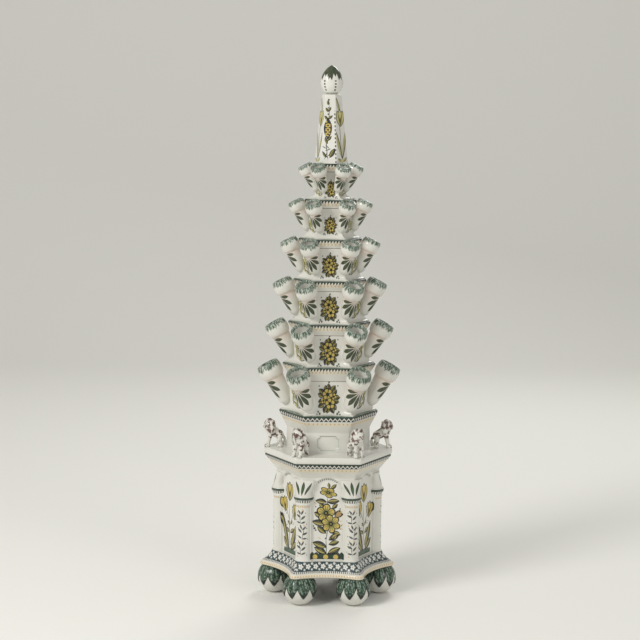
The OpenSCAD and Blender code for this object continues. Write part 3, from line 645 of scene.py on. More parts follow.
class HexWall(Clay):  # clay laid up ring by ring round a six-sided piece, in millimetres
    def __init__(self, per, spin=0.0, shift=None):
        super().__init__()
        self.turn = np.tile(sideTurns(per), sideCount)
        middle = halfSide + np.repeat(np.arange(sideCount), per) * 2 * halfSide + spin
        self.angle = middle + self.turn
        self.along = np.stack((-np.sin(middle), np.cos(middle)), 1)
        self.out = np.stack((np.cos(middle), np.sin(middle)), 1)
        self.shift = shift
        self.rows, self.heights, self.strips = [], [], []

    def ring(self, reach, z, strip, press=0.0):  # press moves points in, square to their side
        row = np.stack((reach * np.cos(self.angle), reach * np.sin(self.angle), np.full(len(self.angle), z)), 1)
        row[:, :2] -= self.out * np.reshape(press, (-1, 1))
        self.rows.append(self.shift(row, z) if self.shift else row)
        self.heights.append(z)
        self.strips.append(strip)

    def put(self, points, strip, soft=1.0, bow=0.0, roundness=0.0):  # points are (corner radius, height)
        for corner, z in points:
            reach = hexReach(self.turn, corner, soft, bow(z) if callable(bow) else bow)
            self.ring(reach * (1 - roundness) + corner * roundness, z, strip)

    def close(self, loop=True, ends=(None, None)):  # u is the distance along the side
        rows = np.array(self.rows)
        edges = (rows, np.roll(rows, -1, axis=1))
        left, right = (np.einsum("ijk,jk->ij", edge[:, :, :2], self.along) for edge in edges)
        self.loft(rows * mm, left, right, self.heights, self.strips, loop, ends)


def sweep(x0, y0, x1, y1, depth, count):  # points of a shallow hollow from one point to the other
    chord = math.hypot(x1 - x0, y1 - y0)
    radius = (depth ** 2 + chord ** 2 / 4) / (2 * depth)
    half = math.asin(min(1.0, chord / 2 / radius))
    cx, cy = (x0 + x1) / 2, (y0 + y1) / 2
    ux, uy = (x1 - x0) / chord, (y1 - y0) / chord
    points = []
    for a in np.linspace(-half, half, count):
        s = radius * math.sin(a)
        d = radius * math.cos(a) - radius * math.cos(half)
        points.append((cx + ux * s - uy * d, cy + uy * s + ux * d))
    return points


def slope(wall, rim, top, band, edge, count):  # wall leaning out to a rim, a little eased where it leaves the wall
    rise, flare = band - edge, rim - wall
    return [(wall + flare * (t + 0.05 * math.sin(math.pi * t) * (t - 0.75)), top - band + rise * t)
            for t in np.linspace(0, 1, count)]


tierSizes = {
    "height": (99, 87, 88, 84, 80, 73), "rim": (96.5, 85.5, 75.5, 65.5, 53.5, 36),
    "band": (29, 23, 21.5, 18, 17.5, 17), "neck": (42, 37, 32, 26, 18, 12), "mouth": (43, 40, 38, 34, 30, 28),
    "reach": (32.5, 30, 25.5, 22.5, 19.5, 18.5), "foot": (390, 489, 576, 664, 748, 828),
    "rimBelow": (103, 96.5, 85.5, 75.5, 65.5, 53.5), "neckBelow": (46, 42, 37, 32, 26, 18),
    "bouquet": (22.5, 21, 19.5, 17.5, 13.5, 12.5), "bouquetAt": (0.49, 0.49, 0.48, 0.46, 0.45, 0.38),
    "per": 28, "skirt": 17, "skirtEdge": 2.5, "skirtInset": 2.5, "bow": 9, "soft": 2.5, "flare": 0.5, "plate": 6,
    "edge": 4, "wall": 5, "spigot": 10, "spigotWall": 4, "neckGap": 1}

spoutSizes = {"around": 48, "rootShare": 0.68, "tubeShare": 0.92, "headShare": 0.77, "swell": 1.18, "lip": 5.2,
              "cupShare": 0.6, "boreShare": 0.6, "drop": 3, "rootUp": 24, "bite": 6.5, "fillet": 0.18}


def tierValues(i):
    return {key: value[i] if isinstance(value, tuple) else value for key, value in tierSizes.items()}


def spoutAxis(s):  # where the axis leaves the corner, its tilt and length, radius at the root and under the head
    p = spoutSizes
    root, tube = s["mouth"] * p["rootShare"] / 2, s["mouth"] * p["tubeShare"] / 2
    out = s["rim"] - s["flare"] * s["band"] + root - p["bite"]
    run, climb = s["rim"] + s["reach"] - out, s["height"] - p["drop"] - p["rootUp"]
    return out, math.atan2(run, climb), math.hypot(run, climb), root, tube


def makeTier(i):
    s = tierValues(i)
    z, top = s["foot"], s["foot"] + s["height"]
    out, tilt, length, root, tube = spoutAxis(s)
    blend = s["mouth"] * spoutSizes["fillet"]
    rim, neck, soft = s["rim"], s["neck"], s["soft"]
    wall, lowWall, highWall = rim - s["flare"] * s["band"], z + s["skirt"], top - s["band"]
    skirt, skirtRise = s["rimBelow"] - s["skirtInset"], s["skirt"] - s["skirtEdge"]
    spigot, spigotFoot = s["neckBelow"] - s["neckGap"], z - s["spigot"]
    bore = spigot - s["spigotWall"]
    inner, ceiling, floor = wall - s["wall"] / cosHalf, top - s["plate"], z + s["plate"]
    middle = z + (s["height"] - s["band"]) * s["bouquetAt"]
    sides = (byTurns(glazeBouquet, glazeTulip, s["per"]), middle, s["bouquet"])
    band = (always(glazeRim), top, s["band"])

    def fillet(row, y):  # clay smoothed up to the spouts, each on its corner
        if y < z or y > top - s["edge"]:
            return row
        angle = np.arctan2(row[:, 1], row[:, 0])
        turn = angle - np.round(angle / (2 * halfSide)) * 2 * halfSide
        reach = np.hypot(row[:, 0], row[:, 1])
        x, across, up = reach * np.cos(turn) - out, reach * np.sin(turn), y - z - spoutSizes["rootUp"]
        along = np.clip(x * math.sin(tilt) + up * math.cos(tilt), 0, length)
        away = np.sqrt((x - along * math.sin(tilt)) ** 2 + across ** 2 + (up - along * math.cos(tilt)) ** 2)
        away -= root + (tube - root) * along / length
        push = blend * np.clip(1 - away / blend, 0, 1) ** 2
        row[:, :2] *= (1 + push / reach)[:, None]
        return row

    def bow(y):  # the scallops of the skirt ease out up the wall
        return s["bow"] * max(0.0, 1 - max(0.0, y - z - s["skirtEdge"]) / skirtRise) ** 1.3

    clay = HexWall(s["per"], shift=fillet)
    clay.put([(bore, z), (bore, spigotFoot + 0.6), (bore + 0.6, spigotFoot), (spigot - 0.8, spigotFoot),
              (spigot, spigotFoot + 0.8), (spigot, z)], shadedInsideStrip, roundness=1)
    clay.put([(skirt - 1.6, z), (skirt - 0.5, z + 0.3), (skirt, z + 1.1)], plainStrip, soft, s["bow"])
    hollow = math.hypot(skirt - wall, skirtRise) * 0.15
    clay.put(sweep(skirt, z + s["skirtEdge"], wall, lowWall, hollow, 12)[:-1], sides, soft, bow)
    clay.put([(wall, y) for y in np.linspace(lowWall, highWall, 24)[:-1]], sides, soft)
    clay.put(slope(wall, rim, top, s["band"], s["edge"], 12) + [(rim, top - 1.6), (rim - 0.4, top - 0.5)], band, soft)
    clay.put([(rim - 1.5, top), (rim - 4.5, top)], ledgeStrip, soft)
    clay.put([(neck + 4, top)], ledgeStrip, soft, roundness=0.75)
    clay.put([(neck + 1.4, top), (neck + 0.4, top - 0.4), (neck, top - 1.4), (neck, ceiling + 0.6),
              (neck + 0.6, ceiling)], shadedInsideStrip, roundness=1)
    clay.put([(inner, y) for y in (ceiling, ceiling - 4, floor + 4, floor)], shadedInsideStrip, 3)
    clay.close(False, ((0, 0, z * mm), (0, 0, floor * mm)))
    clay.make("tier_%d_shell" % (i + 1), "tier_%d" % (i + 1), "body_glaze", "tier_%d" % (i + 1))


def makeSpout(i, corner):
    s, p = tierValues(i), spoutSizes
    rootOut, tilt, length, root, tube = spoutAxis(s)
    mouth = s["mouth"]
    head = mouth * p["headShare"]
    ring = length - head
    swell = mouth * (p["swell"] - 1) / 2
    cup, bore = mouth / 2 - p["lip"], root * p["boreShare"]
    cupFoot = length - head * p["cupShare"]
    radius = (swell ** 2 + (head / 2) ** 2) / (2 * swell)

    def bulge(y):
        return mouth / 2 + swell - radius + math.sqrt(max(0.0, radius ** 2 - (y - ring - head * 0.5) ** 2))

    def stem(y):
        return root + (tube - root) * (max(0.0, y) / ring) ** 0.8

    profile = [(root * math.cos(a), root * math.sin(a)) for a in np.linspace(-1.45, 0, 8)]
    levels = np.concatenate((np.linspace(0, ring - 4, 10)[1:], np.linspace(ring - 3, ring + 4, 9)))
    for y in levels:  # tube, soft step and foot of the head
        step = float(smooth(ring - 2.2, ring + 3.0, y))
        groove = 0.5 * math.exp(-((y - ring + 0.6) / 1.3) ** 2)
        profile.append((stem(min(y, ring)) * (1 - step) + bulge(max(y, ring)) * step - groove, y))
    for y in np.linspace(ring + 5, ring + head * 0.90, 14):
        profile.append((bulge(y), y))
    lipOut, lipFoot = profile[-1]
    middle, half = (lipOut + cup) / 2, (lipOut - cup) / 2
    for a in np.linspace(0.18, math.pi - 0.2, 10):  # rolled lip
        profile.append((middle + half * math.cos(a), lipFoot + (length - lipFoot) * math.sin(a)))
    lipRow = len(profile) - 6
    profile += [(cup, length - 3), (cup, length - 7), (cup + 0.2, (cupFoot + length) / 2), (cup, cupFoot + 2)]
    profile += [(bore + (cup - bore) * t, cupFoot - (cup - bore) * (1 - t) * 0.9) for t in (0.86, 0.6, 0.3, 0.08)]
    boreFoot = max(ring * 0.55, cupFoot - (cup - bore) - 9)
    profile += [(bore, (boreFoot + cupFoot - (cup - bore)) / 2), (bore, boreFoot + 1.5), (bore - 1.5, boreFoot)]
    count = p["around"]
    # u 0 is the outer line of the leaning spout
    turns = np.linspace(0, 2 * math.pi, count + 1)
    phase = rng.uniform(0, 6.28, 3)
    wobble = 1 + 0.006 * np.sin(2 * turns[:-1] + phase[0]) + 0.004 * np.sin(3 * turns[:-1] + phase[1])
    place = atCorner(corner, rootOut, s["foot"] + p["rootUp"]) @ Matrix.Rotation(tilt, 4, "Y")
    rows, heights, strips = [], [], []
    tag = rng.uniform(0, 5)
    for n, (x, y) in enumerate(profile):
        ease = min(1.0, max(0.0, y / ring)) if n <= lipRow else 0.3
        reach = x * (1 + (wobble - 1) * ease)
        flat = np.stack((reach * np.cos(turns[:-1]), reach * np.sin(turns[:-1]), np.full(count, y)), 1) * mm
        rows.append(moved(flat, place))
        heights.append((length - y) / mouth if n <= lipRow else (length - 0.3 - y) / mouth * 1.6)
        inside = n > lipRow + 8
        # below the lip the cup takes the grey inside glaze, painted shade
        strips.append((always(glazeInsideShaded if inside else glazeSpout), 0.0, tag))
    left = np.tile(np.where(turns[:-1] > math.pi, turns[:-1] - 2 * math.pi, turns[:-1]), (len(rows), 1))
    right = left + turns[1]
    clay = Clay()
    ends = [moved((0, 0, y * mm), place) for y in (-root, boreFoot)]
    clay.loft(np.array(rows), left, right, heights, strips, False, ends)
    name = "spout_%d_%d" % (i + 1, corner + 1)
    clay.make(name + "_shell", "tier_%d" % (i + 1), "body_glaze", name)


for i in range(6):
    makeTier(i)
    for corner in range(sideCount):
        makeSpout(i, corner)
print("tiers and spouts thrown")

# pedestal: plinth, arched die and cornice in one closed wall
pedestalSizes = {
    "per": 64, "foot": 58, "plinth": 33, "lobe": 140, "lobeTop": 115.5, "edge": 9, "sideFoot": 109.24,
    "sideTop": 95.53, "cutterFar": 249.37, "die": 108, "dieHeight": 173, "arch": 33, "recess": 5.0, "cornice": 132,
    "corniceHeight": 33, "ledge": 110, "hole": 60, "plate": 9, "cavity": 91.8, "lobeSoft": 9.0, "hollow": 4.2}


def makePedestal():
    s = pedestalSizes
    foot, dieFoot = s["foot"], s["foot"] + s["plinth"]
    top = dieFoot + s["dieHeight"] + s["corniceHeight"]
    spring, hole, ceiling = s["dieHeight"] - s["arch"], s["hole"], top - s["plate"]
    base = (always(glazePlinth), foot, 0.0)
    panel = (byTurns(glazeRose, glazeTulipPanel, s["per"]), dieFoot, 0.0)
    cornice = (always(glazeCornice), top, s["corniceHeight"])
    clay = HexWall(s["per"])

    def plinthReach(lobe, side):
        far, cut = s["cutterFar"], s["cutterFar"] - side
        drawn = far * np.cos(clay.turn) - np.sqrt(cut ** 2 - (far * np.sin(clay.turn)) ** 2)
        return softMin(np.full(len(clay.turn), float(lobe)), drawn, s["lobeSoft"])

    clay.put([(s["cavity"], foot + 1.0)], shadedInsideStrip, 4)
    clay.put([(s["cavity"] + 1.5, foot)], base, 4)
    for back, z in ((3.0, 0), (1.2, 0.35), (0.3, 1.4), (0.0, 3.0), (-0.2, 4.6), (0.1, 6.2), (0.9, 7.6), (2.2, 8.5),
                    (3.0, 9.0)):
        clay.ring(plinthReach(s["lobe"], s["sideFoot"]) - back, foot + z, base)
    for t in np.linspace(0.02, 1, 14):
        hollow = s["hollow"] * 4 * t * (1 - t)
        lobe = s["lobe"] - 3 + (s["lobeTop"] - s["lobe"] + 3) * t - hollow
        side = s["sideFoot"] - 3 + (s["sideTop"] - s["sideFoot"] + 3) * t - hollow * 0.35
        clay.ring(plinthReach(lobe, side), foot + s["edge"] + 0.3 + (s["plinth"] - s["edge"] - 0.8) * t, base)
    clay.ring(plinthReach(s["lobeTop"] - 0.8, s["sideTop"] - 0.5), dieFoot, plainStrip)
    die = hexReach(clay.turn, s["die"], 3)
    across = die * np.sin(clay.turn)
    for v in np.concatenate(([0.05], np.linspace(1.4, s["dieHeight"], 122))):
        away = np.where(v > spring, np.hypot(across, v - spring), abs(across)) - s["arch"]
        press = s["recess"] * smooth(0.4, -2.6, away) - 0.9 * np.exp(-((away - 2.6) / 1.5) ** 2) * (v > spring - 40)
        clay.ring(die, dieFoot + v, panel, press)
    clay.strips[-1] = cornice
    clay.put(slope(s["die"], s["cornice"], top, s["corniceHeight"], 4, 16)[1:], cornice, 3.5)
    clay.put([(s["cornice"] - back, top - z) for back, z in ((0, 1.6), (0.4, 0.6), (1.5, 0.0))], cornice, 3.5)
    clay.put([(s["ledge"], top)], plainStrip, 10)
    clay.put([(hole + 1.2, top), (hole, top - 1.2), (hole, ceiling + 1), (hole + 1, ceiling)], shadedInsideStrip, roundness=1)
    clay.put([(s["cavity"], ceiling)], shadedInsideStrip, 4)
    clay.close()
    clay.make("pedestal_shell", "pedestal", "body_glaze", "pedestal_body")


columnSizes = {"around": 48, "circle": 97, "shaft": 16.5, "foot": 91, "height": 121, "capital": 14, "capitalOut": 4,
               "shoulder": 34, "shoulderTop": 14.0, "sink": 0.2, "spread": 0.8, "toRoses": 15}


def turned(profile, around, place, glaze, straight=1.0, face=0.0, oval=None):
    # a wheel-thrown shape: u is the arc in millimetres at the straight radius, or the angle
    turns = np.linspace(0, 2 * math.pi, around + 1)
    rows = []
    for x, y in profile:
        deep, wide = oval(y) if oval else (1.0, 1.0)
        row = (x * deep * np.cos(turns[:-1]), x * wide * np.sin(turns[:-1]), np.full(around, y))
        rows.append(np.stack(row, 1) * mm)
    nudge = math.pi + 1e-6
    left = np.tile(((turns[:-1] - face + nudge) % (2 * math.pi) - nudge) * straight, (len(rows), 1))
    right = left + turns[1] * straight
    ends = [moved((0, 0, profile[n][1] * mm), place) for n in (0, -1)]
    strips = [(always(glaze), 0.0, 0.0)] * len(profile)
    clay = Clay()
    clay.loft(moved(rows, place), left, right, [y for x, y in profile], strips, False, ends)
    return clay


def makeColumn(n):
    s = columnSizes
    shaft, big = s["shaft"], s["shaft"] + s["capitalOut"]
    h, c = s["height"], s["capital"]
    profile = [(shaft + 1.0, 0), (shaft + 1.0, 1.2), (shaft + 0.5, 2.4), (shaft, 4.0)]
    profile += [(shaft - 0.25 * math.sin(math.pi * t), 4 + (h - 10) * t) for t in np.linspace(0.05, 1, 14)]
    profile += [(shaft + out, h - down) for out, down in ((0.5, 4.5), (1.3, 3.2), (1.4, 2.2), (0.6, 1.0), (0.6, 0))]
    profile += [(shaft + 0.6 + (s["capitalOut"] - 0.6) * t ** 1.4, h + c * 0.5 * t) for t in (0.2, 0.4, 0.6, 0.8, 0.95)]
    profile += [(big + out, h + c * t) for out, t in ((0, 0.52), (0.2, 0.7), (0, 0.9), (-0.8, 0.98), (-2.2, 1))]
    neck = big - 2.2
    for t in np.linspace(0.1, 1, 8):
        hollow = 1.5 * math.sin(math.pi * t) * (1 - t)
        profile.append((neck + (s["shoulderTop"] - neck) * t - hollow, h + c + s["shoulder"] * t))
    face = math.radians(s["toRoses"] if n % 2 == 0 else -s["toRoses"])

    def oval(y):  # the shoulder lies back and widens into the wall beside the arches
        up = smooth(h + c, h + c + s["shoulder"], y)
        return 1.0 - s["sink"] * up, 1.0 + s["spread"] * up

    clay = turned(profile, s["around"], atCorner(n, s["circle"], s["foot"]), glazeColumn, shaft, face, oval)
    clay.make("column_%d" % (n + 1), "pedestal", "body_glaze")


footSizes = {"around": 96, "ball": 33.5, "middle": 32.27, "top": 58, "lid": 0.05, "circle": 110, "leaves": 8,
             "leafThick": 2.3, "tip": 18, "notch": 38}


def makeFoot(n):
    s = footSizes
    turns = np.linspace(0, 2 * math.pi, s["around"] + 1)[:-1]
    pitch = 2 * math.pi / s["leaves"]
    share = (turns / pitch + 0.5) % 1.0
    offset = share * 2 - 1  # -1 and 1 at the notches, 0 at a leaf's middle
    place = atCorner(n, s["circle"], 0)
    rows, heights = [], []
    low = math.asin(max(-1.0, -s["middle"] / s["ball"]))
    high = math.asin((s["top"] - s["middle"]) / (s["ball"] + s["leafThick"]))
    for a in np.linspace(low, high, 52):
        z = s["middle"] + s["ball"] * math.sin(a)
        edge = s["tip"] + (s["notch"] - s["tip"]) * abs(offset) ** 1.35
        over = smooth(-0.6, 2.2, z - edge)
        vein = 0.35 * np.exp(-(offset / 0.09) ** 2) * smooth(0, 6, z - edge)
        reach = s["ball"] + s["leafThick"] * over * (0.85 + 0.15 * np.cos(offset * math.pi)) - vein
        rows.append(np.stack((reach * math.cos(a) * np.cos(turns), reach * math.cos(a) * np.sin(turns),
                              s["middle"] + reach * math.sin(a)), 1))
        heights.append(z)
    rows = np.array(rows)
    rows[:, :, 2] = np.clip(rows[:, :, 2], 0, s["top"] - s["lid"])
    left = np.tile(offset, (len(rows), 1))
    right = left + 2 / (s["around"] / s["leaves"])
    clay = Clay()
    strips = [(always(glazeFoot), 0.0, float(n))] * len(rows)
    ends = [moved((0, 0, z * mm), place) for z in (0.0, s["top"] - s["lid"])]
    clay.loft(moved(rows * mm, place), left, right, heights, strips, False, ends)
    clay.make("foot_%d_ball" % (n + 1), "pedestal", "foot_glaze", "foot_%d" % (n + 1), sharp=60)


gallerySizes = {"per": 40, "foot": 297, "deck": 135, "deckHeight": 13.5, "bulge": 3, "drum": 87, "top": 390,
                "rim": 103, "band": 36, "ring": 59, "ringWall": 4, "spigot": 10, "ledge": 84, "neck": 46, "plate": 6,
                "cavity": 77.2, "panelWide": 22, "panelTall": 31, "panelDeep": 2.5, "panelNotch": 6}


def makeGallery():
    s = gallerySizes
    z, deckTop, top = s["foot"], s["foot"] + s["deckHeight"], s["top"]
    rimFoot, spigotFoot, ceiling = top - s["band"], z - s["spigot"], top - s["plate"]
    middle, half = (deckTop + rimFoot) / 2, s["deckHeight"] / 2
    spigot, bore, drum, rim, neck = s["ring"], s["ring"] - s["ringWall"], s["drum"], s["rim"], s["neck"]
    band = (always(glazeGalleryRim), top, s["band"])
    clay = HexWall(s["per"])
    clay.put([(bore + 1, deckTop), (bore, deckTop - 1), (bore, spigotFoot + 0.8), (bore + 0.8, spigotFoot),
              (spigot - 0.8, spigotFoot), (spigot, spigotFoot + 0.8), (spigot, z)], shadedInsideStrip, roundness=1)
    for a in np.linspace(-1, 1, 13):
        back = s["bulge"] * 1.15 * (1 - math.sqrt(max(0.0, 1 - (0.985 * a) ** 2)))
        clay.put([(s["deck"] - back, z + half + half * a)], plainStrip, 5)
    clay.put([(s["deck"] - 5.2, deckTop)], plainStrip, 5)
    clay.put([(drum + 3.5, deckTop), (drum + 1.0, deckTop + 0.5)], plainStrip, 3)
    wall = hexReach(clay.turn, drum, 3)
    across = abs(wall * np.sin(clay.turn)) - s["panelWide"]
    for y in np.linspace(deckTop + 1.6, rimFoot, 44):
        up = abs(y - middle) - s["panelTall"] / 2
        away = np.maximum(np.maximum(across, up), s["panelNotch"] - np.hypot(across, up))
        clay.ring(wall, y, (always(glazeDrum), middle, 0.0), s["panelDeep"] * smooth(0.5, -1.7, away))
    clay.strips[-1] = band
    clay.put(slope(drum, rim, top, s["band"], 4, 14)[1:] + [(rim, top - 1.6), (rim - 0.4, top - 0.5)], band, 3)
    clay.put([(rim - 1.5, top)], ledgeStrip, 3)
    clay.put([(s["ledge"], top)], ledgeStrip, 20)
    clay.put([(neck + 1.2, top), (neck, top - 1.2), (neck, ceiling + 0.6), (neck + 0.8, ceiling)], shadedInsideStrip,
             roundness=1)
    clay.put([(s["cavity"], y) for y in (ceiling, ceiling - 4, deckTop + 4, deckTop)], shadedInsideStrip, 4)
    clay.close()
    clay.make("gallery_shell", "gallery", "body_glaze", "gallery_body")


obeliskSizes = {"per": 14, "foot": 901.1, "height": 140, "low": 35, "high": 20.5, "turn": -10.0, "plug": 11,
                "plugWall": 4, "spigot": 10, "wall": 4.5, "plate": 6, "well": 100}


def makeObelisk():
    s = obeliskSizes
    z, top, low, high = s["foot"], s["foot"] + s["height"], s["low"], s["high"]
    plug, spigotFoot, floor, ceiling = s["plug"], z - s["spigot"], z + s["plate"], z + s["plate"] + s["well"]
    lean = (low - high) / s["height"]
    inner, bore = low - s["wall"] / cosHalf - lean * s["plate"], plug - s["plugWall"]
    face = (byTurns(glazeChain, glazeObeliskTulip, s["per"]), z, 0.0)
    clay = HexWall(s["per"], math.radians(s["turn"]))
    clay.put([(inner - lean * s["well"], ceiling), (inner, floor)], shadedInsideStrip, 2)
    clay.put([(bore, floor), (bore, spigotFoot), (plug - 0.6, spigotFoot), (plug, spigotFoot + 0.6), (plug, z)],
             shadedInsideStrip, roundness=1)
    clay.put([(low - 1.2, z)], shadedInsideStrip, 2)
    clay.put([(low - 0.2, z + 0.6)], face, 2)
    clay.put([(low + (high - low) * t, z + s["height"] * t) for t in np.linspace(0.012, 0.99, 40)], face, 1.8)
    clay.put([(high - 0.5, top - 0.5)], face, 1.8)
    clay.put([(high - 1.6, top)], plainStrip, 1.8)
    clay.close(False, ((0, 0, ceiling * mm), (0, 0, top * mm)))
    clay.make("obelisk_shell", "obelisk", "body_glaze", "obelisk", sharp=30)


budSizes = {"around": 72, "foot": 1041.1, "height": 59, "belly": 23, "bellyAt": 23, "base": 10.0, "tip": 1.0}


def makeBud():
    s = budSizes
    profile = [(s["base"] - 1.0, 0)]
    for a in np.linspace(0, math.pi / 2, 16):
        reach = s["base"] + (s["belly"] - s["base"]) * math.sin(a) ** 1.7
        profile.append((reach, 0.3 + (s["bellyAt"] - 0.3) * (1 - math.cos(a))))
    rise, flare = s["height"] - s["bellyAt"], s["belly"] - s["tip"]
    radius = (flare ** 2 + rise ** 2) / (2 * flare)
    for y in rise * np.sin(np.linspace(0, math.pi / 2, 26))[1:]:
        profile.append((s["belly"] - radius + math.sqrt(radius ** 2 - y ** 2), s["bellyAt"] + y))
    place = Matrix.Rotation(math.radians(obeliskSizes["turn"]), 4, "Z") @ Matrix.Translation((0, 0, s["foot"] * mm))
    clay = turned(profile, s["around"], place, glazeBud)
    clay.make("bud_shell", "obelisk", "body_glaze", "finial_bud", sharp=60)


# lion: limbs as balls run together, remeshed to one skin and smoothed; the six share that skin
lionSizes = {
    "tall": 59.5, "long": 49.0, "middle": 110.6, "deck": 310.5, "voxel": 0.0008, "bulk": 1.06, "curls": 30,
    "limbs": (
        ((0.13, 0, 0.56, 0.19), (-0.20, 0, 0.42, 0.155)), ((0.17, 0, 0.58, 0.21), (0.21, 0, 0.74, 0.22)),
        ((0.28, 0, 0.81, 0.175), (0.38, 0, 0.755, 0.115)), ((0.38, 0, 0.745, 0.115), (0.425, 0, 0.715, 0.085)),
        ((0.30, 0, 0.89, 0.10), (0.20, 0, 0.91, 0.09)), ((-0.31, 0, 0.40, 0.055), (-0.40, 0, 0.30, 0.05)),
        ((-0.40, 0, 0.30, 0.05), (-0.415, 0, 0.17, 0.045)), ((-0.41, 0, 0.17, 0.05), (-0.385, 0, 0.10, 0.062))),
    "pairs": (
        ((0.15, 0.14, 0.86, 0.08), (0.10, 0.195, 0.66, 0.09)), ((0.10, 0.195, 0.66, 0.085), (0.14, 0.185, 0.52, 0.065)),
        ((0.20, 0.11, 0.48, 0.105), (0.27, 0.125, 0.22, 0.08)), ((0.27, 0.125, 0.22, 0.08), (0.29, 0.125, 0.06, 0.068)),
        ((0.29, 0.125, 0.045, 0.07), (0.375, 0.125, 0.04, 0.06)),
        ((-0.20, 0.10, 0.38, 0.13), (-0.17, 0.13, 0.24, 0.09)),
        ((-0.17, 0.13, 0.24, 0.085), (-0.25, 0.13, 0.12, 0.066)),
        ((-0.25, 0.13, 0.12, 0.066), (-0.24, 0.13, 0.045, 0.066)),
        ((-0.24, 0.13, 0.045, 0.068), (-0.15, 0.13, 0.04, 0.06)),
        ((0.25, 0.135, 0.915, 0.05), (0.23, 0.15, 0.95, 0.035)))}


def lionSkin():
    s = lionSizes
    soup = bmesh.new()
    pairs = list(s["limbs"])

    def spot(x, y, z):
        return Matrix.Translation((x * s["long"] * mm, y * s["tall"] * mm, z * s["tall"] * mm))

    for side in (1, -1):
        pairs += [((a[0], a[1] * side, a[2], a[3]), (b[0], b[1] * side, b[2], b[3])) for a, b in s["pairs"]]
    for a, b in pairs:
        for t in np.linspace(0, 1, 7):
            x, y, z, r = (a[k] + (b[k] - a[k]) * t for k in range(4))
            size = Matrix.Diagonal((r * s["long"] * mm * s["bulk"], r * s["tall"] * mm, r * s["tall"] * mm, 1))
            bmesh.ops.create_icosphere(soup, subdivisions=3, radius=1.0, matrix=spot(x, y, z) @ size)
    curls = [(0.20 - (0.12 + 0.05 * (n % 4)) * 0.55, 0.19 * math.cos(n * 2.4), 0.70 + 0.185 * math.sin(n * 2.4), 0.044)
             for n in range(s["curls"])]  # mane round the neck
    features = [(0.335, 0.078, 0.85, 0.04), (0.425, 0.10, 0.03, 0.026), (0.435, 0.128, 0.03, 0.026),
                (0.425, 0.155, 0.03, 0.026), (0.405, 0.048, 0.70, 0.048)]  # brows, toes and jowls
    for x, y, z, r in curls + features + [(x, -y, z, r) for x, y, z, r in features]:
        bmesh.ops.create_icosphere(soup, subdivisions=2, radius=r * s["tall"] * mm, matrix=spot(x, y, z))
    rough = bpy.data.meshes.new("lionClay")
    soup.to_mesh(rough)
    soup.free()
    lump = bpy.data.objects.new("lionClay", rough)
    bpy.context.scene.collection.objects.link(lump)
    remesh = lump.modifiers.new("skin", "REMESH")
    remesh.mode, remesh.voxel_size = "VOXEL", s["voxel"]
    ease = lump.modifiers.new("ease", "SMOOTH")
    ease.factor, ease.iterations = 0.5, 3
    skin = bpy.data.meshes.new_from_object(lump.evaluated_get(bpy.context.evaluated_depsgraph_get()))
    bpy.data.objects.remove(lump)
    bpy.data.meshes.remove(rough)
    local = np.empty(len(skin.vertices) * 3, dtype=np.float32)
    skin.vertices.foreach_get("co", local)
    local = local.reshape(-1, 3)
    local[:, 2] = np.maximum(local[:, 2], 0.0)
    skin.attributes.new("paintAt", "FLOAT_VECTOR", "POINT").data.foreach_set("vector", (local / mm).ravel())
    skin.materials.clear()
    skin.materials.append(glazeLion.material)
    skin.shade_smooth()
    return skin, local


def makeLions():
    s = lionSizes
    skin, local = lionSkin()
    for n in range(sideCount):
        name = "lion_%d_figure" % (n + 1)
        mesh = skin.copy()
        mesh.name = name
        place = atCorner(n, s["middle"], s["deck"])
        mesh.vertices.foreach_set("co", moved(local, place).astype(np.float32).ravel())
        mesh.update()
        settle(bpy.data.objects.new(name, mesh), "gallery", ("lion_%d" % (n + 1),))
    bpy.data.meshes.remove(skin)


makePedestal()
for n in range(sideCount):
    makeColumn(n)
    makeFoot(n)
makeGallery()
makeLions()
makeObelisk()
makeBud()
print("pedestal, gallery, obelisk and bud made")

# camera where the photograph was taken from, 640 by 640
view = {"lens": 100.0, "sensor": 36.0, "distance": 3.65, "height": 1.0537, "pitch": 7.435, "yaw": -0.306, "roll": 0.57}


def makeCamera():
    pitch, yaw, roll = (math.radians(view[key]) for key in ("pitch", "yaw", "roll"))
    ahead = Vector((math.sin(yaw) * math.cos(pitch), math.cos(yaw) * math.cos(pitch), -math.sin(pitch)))
    level = Vector((math.cos(yaw), -math.sin(yaw), 0))
    upright = level.cross(ahead)
    right = level * math.cos(roll) + upright * math.sin(roll)
    up = upright * math.cos(roll) - level * math.sin(roll)
    lens = bpy.data.cameras.new("photoCamera")
    lens.lens, lens.sensor_width, lens.sensor_fit = view["lens"], view["sensor"], "HORIZONTAL"
    lens.clip_start, lens.clip_end = 0.05, 50
    camera = bpy.data.objects.new("photoCamera", lens)
    camera.matrix_world = Matrix((
        (right.x, up.x, -ahead.x, 0), (right.y, up.y, -ahead.y, -view["distance"]),
        (right.z, up.z, -ahead.z, view["height"]), (0, 0, 0, 1)))
    bpy.context.scene.collection.objects.link(camera)
    bpy.context.scene.camera = camera


makeCamera()

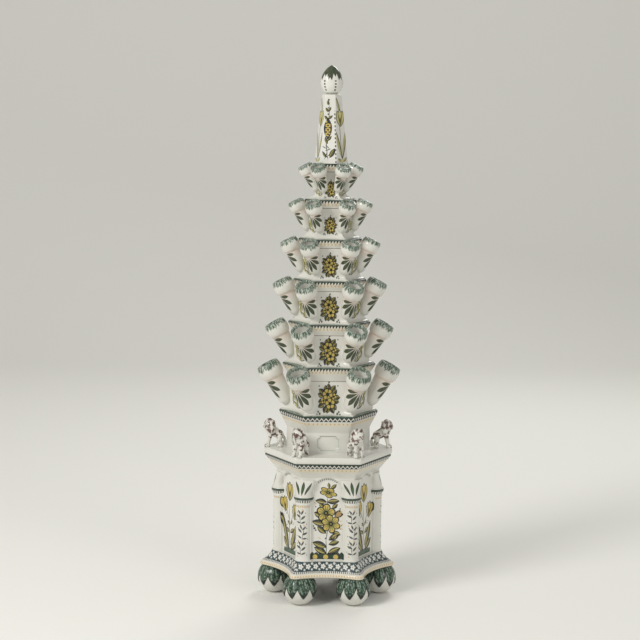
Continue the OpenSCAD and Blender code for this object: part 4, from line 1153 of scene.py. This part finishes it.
studio = {"floor": (0.835, 0.83, 0.79, 1), "rough": 0.8, "world": (1.0, 0.99, 0.965, 1), "worldLevel": 0.48,
          "front": -6, "bendAt": 3.0, "bend": 1.5, "tall": 6, "half": 7, "aim": (0, 0, 0.55),
          "lamps": (("keyLamp", (-2.3, -2.2, 2.5), 1.3, 78, (1.0, 0.985, 0.955)),
                    ("fillLamp", (2.4, -2.6, 1.6), 1.6, 20, (1.0, 0.99, 0.97)),
                    ("backLamp", (0.8, 2.4, 2.4), 1.2, 24, (1.0, 1.0, 0.98)))}


def makeStudio():
    world = bpy.data.worlds.new("studioWorld")
    world.use_nodes = True
    ground = world.node_tree.nodes["Background"]
    ground.inputs["Color"].default_value = studio["world"]
    ground.inputs["Strength"].default_value = studio["worldLevel"]
    bpy.context.scene.world = world
    for name, spot, size, power, colour in studio["lamps"]:
        lamp = bpy.data.lights.new(name, "AREA")
        lamp.shape, lamp.size, lamp.energy, lamp.color = "DISK", size, power, colour
        holder = bpy.data.objects.new(name, lamp)
        holder.location = spot
        holder.rotation_mode = "QUATERNION"
        holder.rotation_quaternion = (Vector(studio["aim"]) - Vector(spot)).to_track_quat("-Z", "Y")
        bpy.context.scene.collection.objects.link(holder)
    # floor that runs back and curves up into a backdrop
    start, radius, half = studio["bendAt"], studio["bend"], studio["half"]
    curve = [(start + radius * math.sin(a), radius - radius * math.cos(a)) for a in np.linspace(0, math.pi / 2, 16)]
    bend = [(studio["front"], 0)] + curve + [(start + radius, studio["tall"])]
    points = [(x, y, z) for y, z in bend for x in (-half, half)]
    faces = [(2 * n, 2 * n + 1, 2 * n + 3, 2 * n + 2) for n in range(len(bend) - 1)]
    mesh = bpy.data.meshes.new("studioFloor")
    mesh.from_pydata(points, [], faces)
    mesh.shade_smooth()
    paper = bpy.data.materials.new("studioPaper")
    paper.use_nodes = True
    shader = paper.node_tree.nodes["Principled BSDF"]
    shader.inputs["Base Color"].default_value = studio["floor"]
    shader.inputs["Roughness"].default_value = studio["rough"]
    mesh.materials.append(paper)
    floor = bpy.data.objects.new("studioFloor", mesh)
    bpy.context.scene.collection.objects.link(floor)


makeStudio()
bpy.context.scene.view_settings.view_transform = "Standard"
print("camera, lamps and floor set")
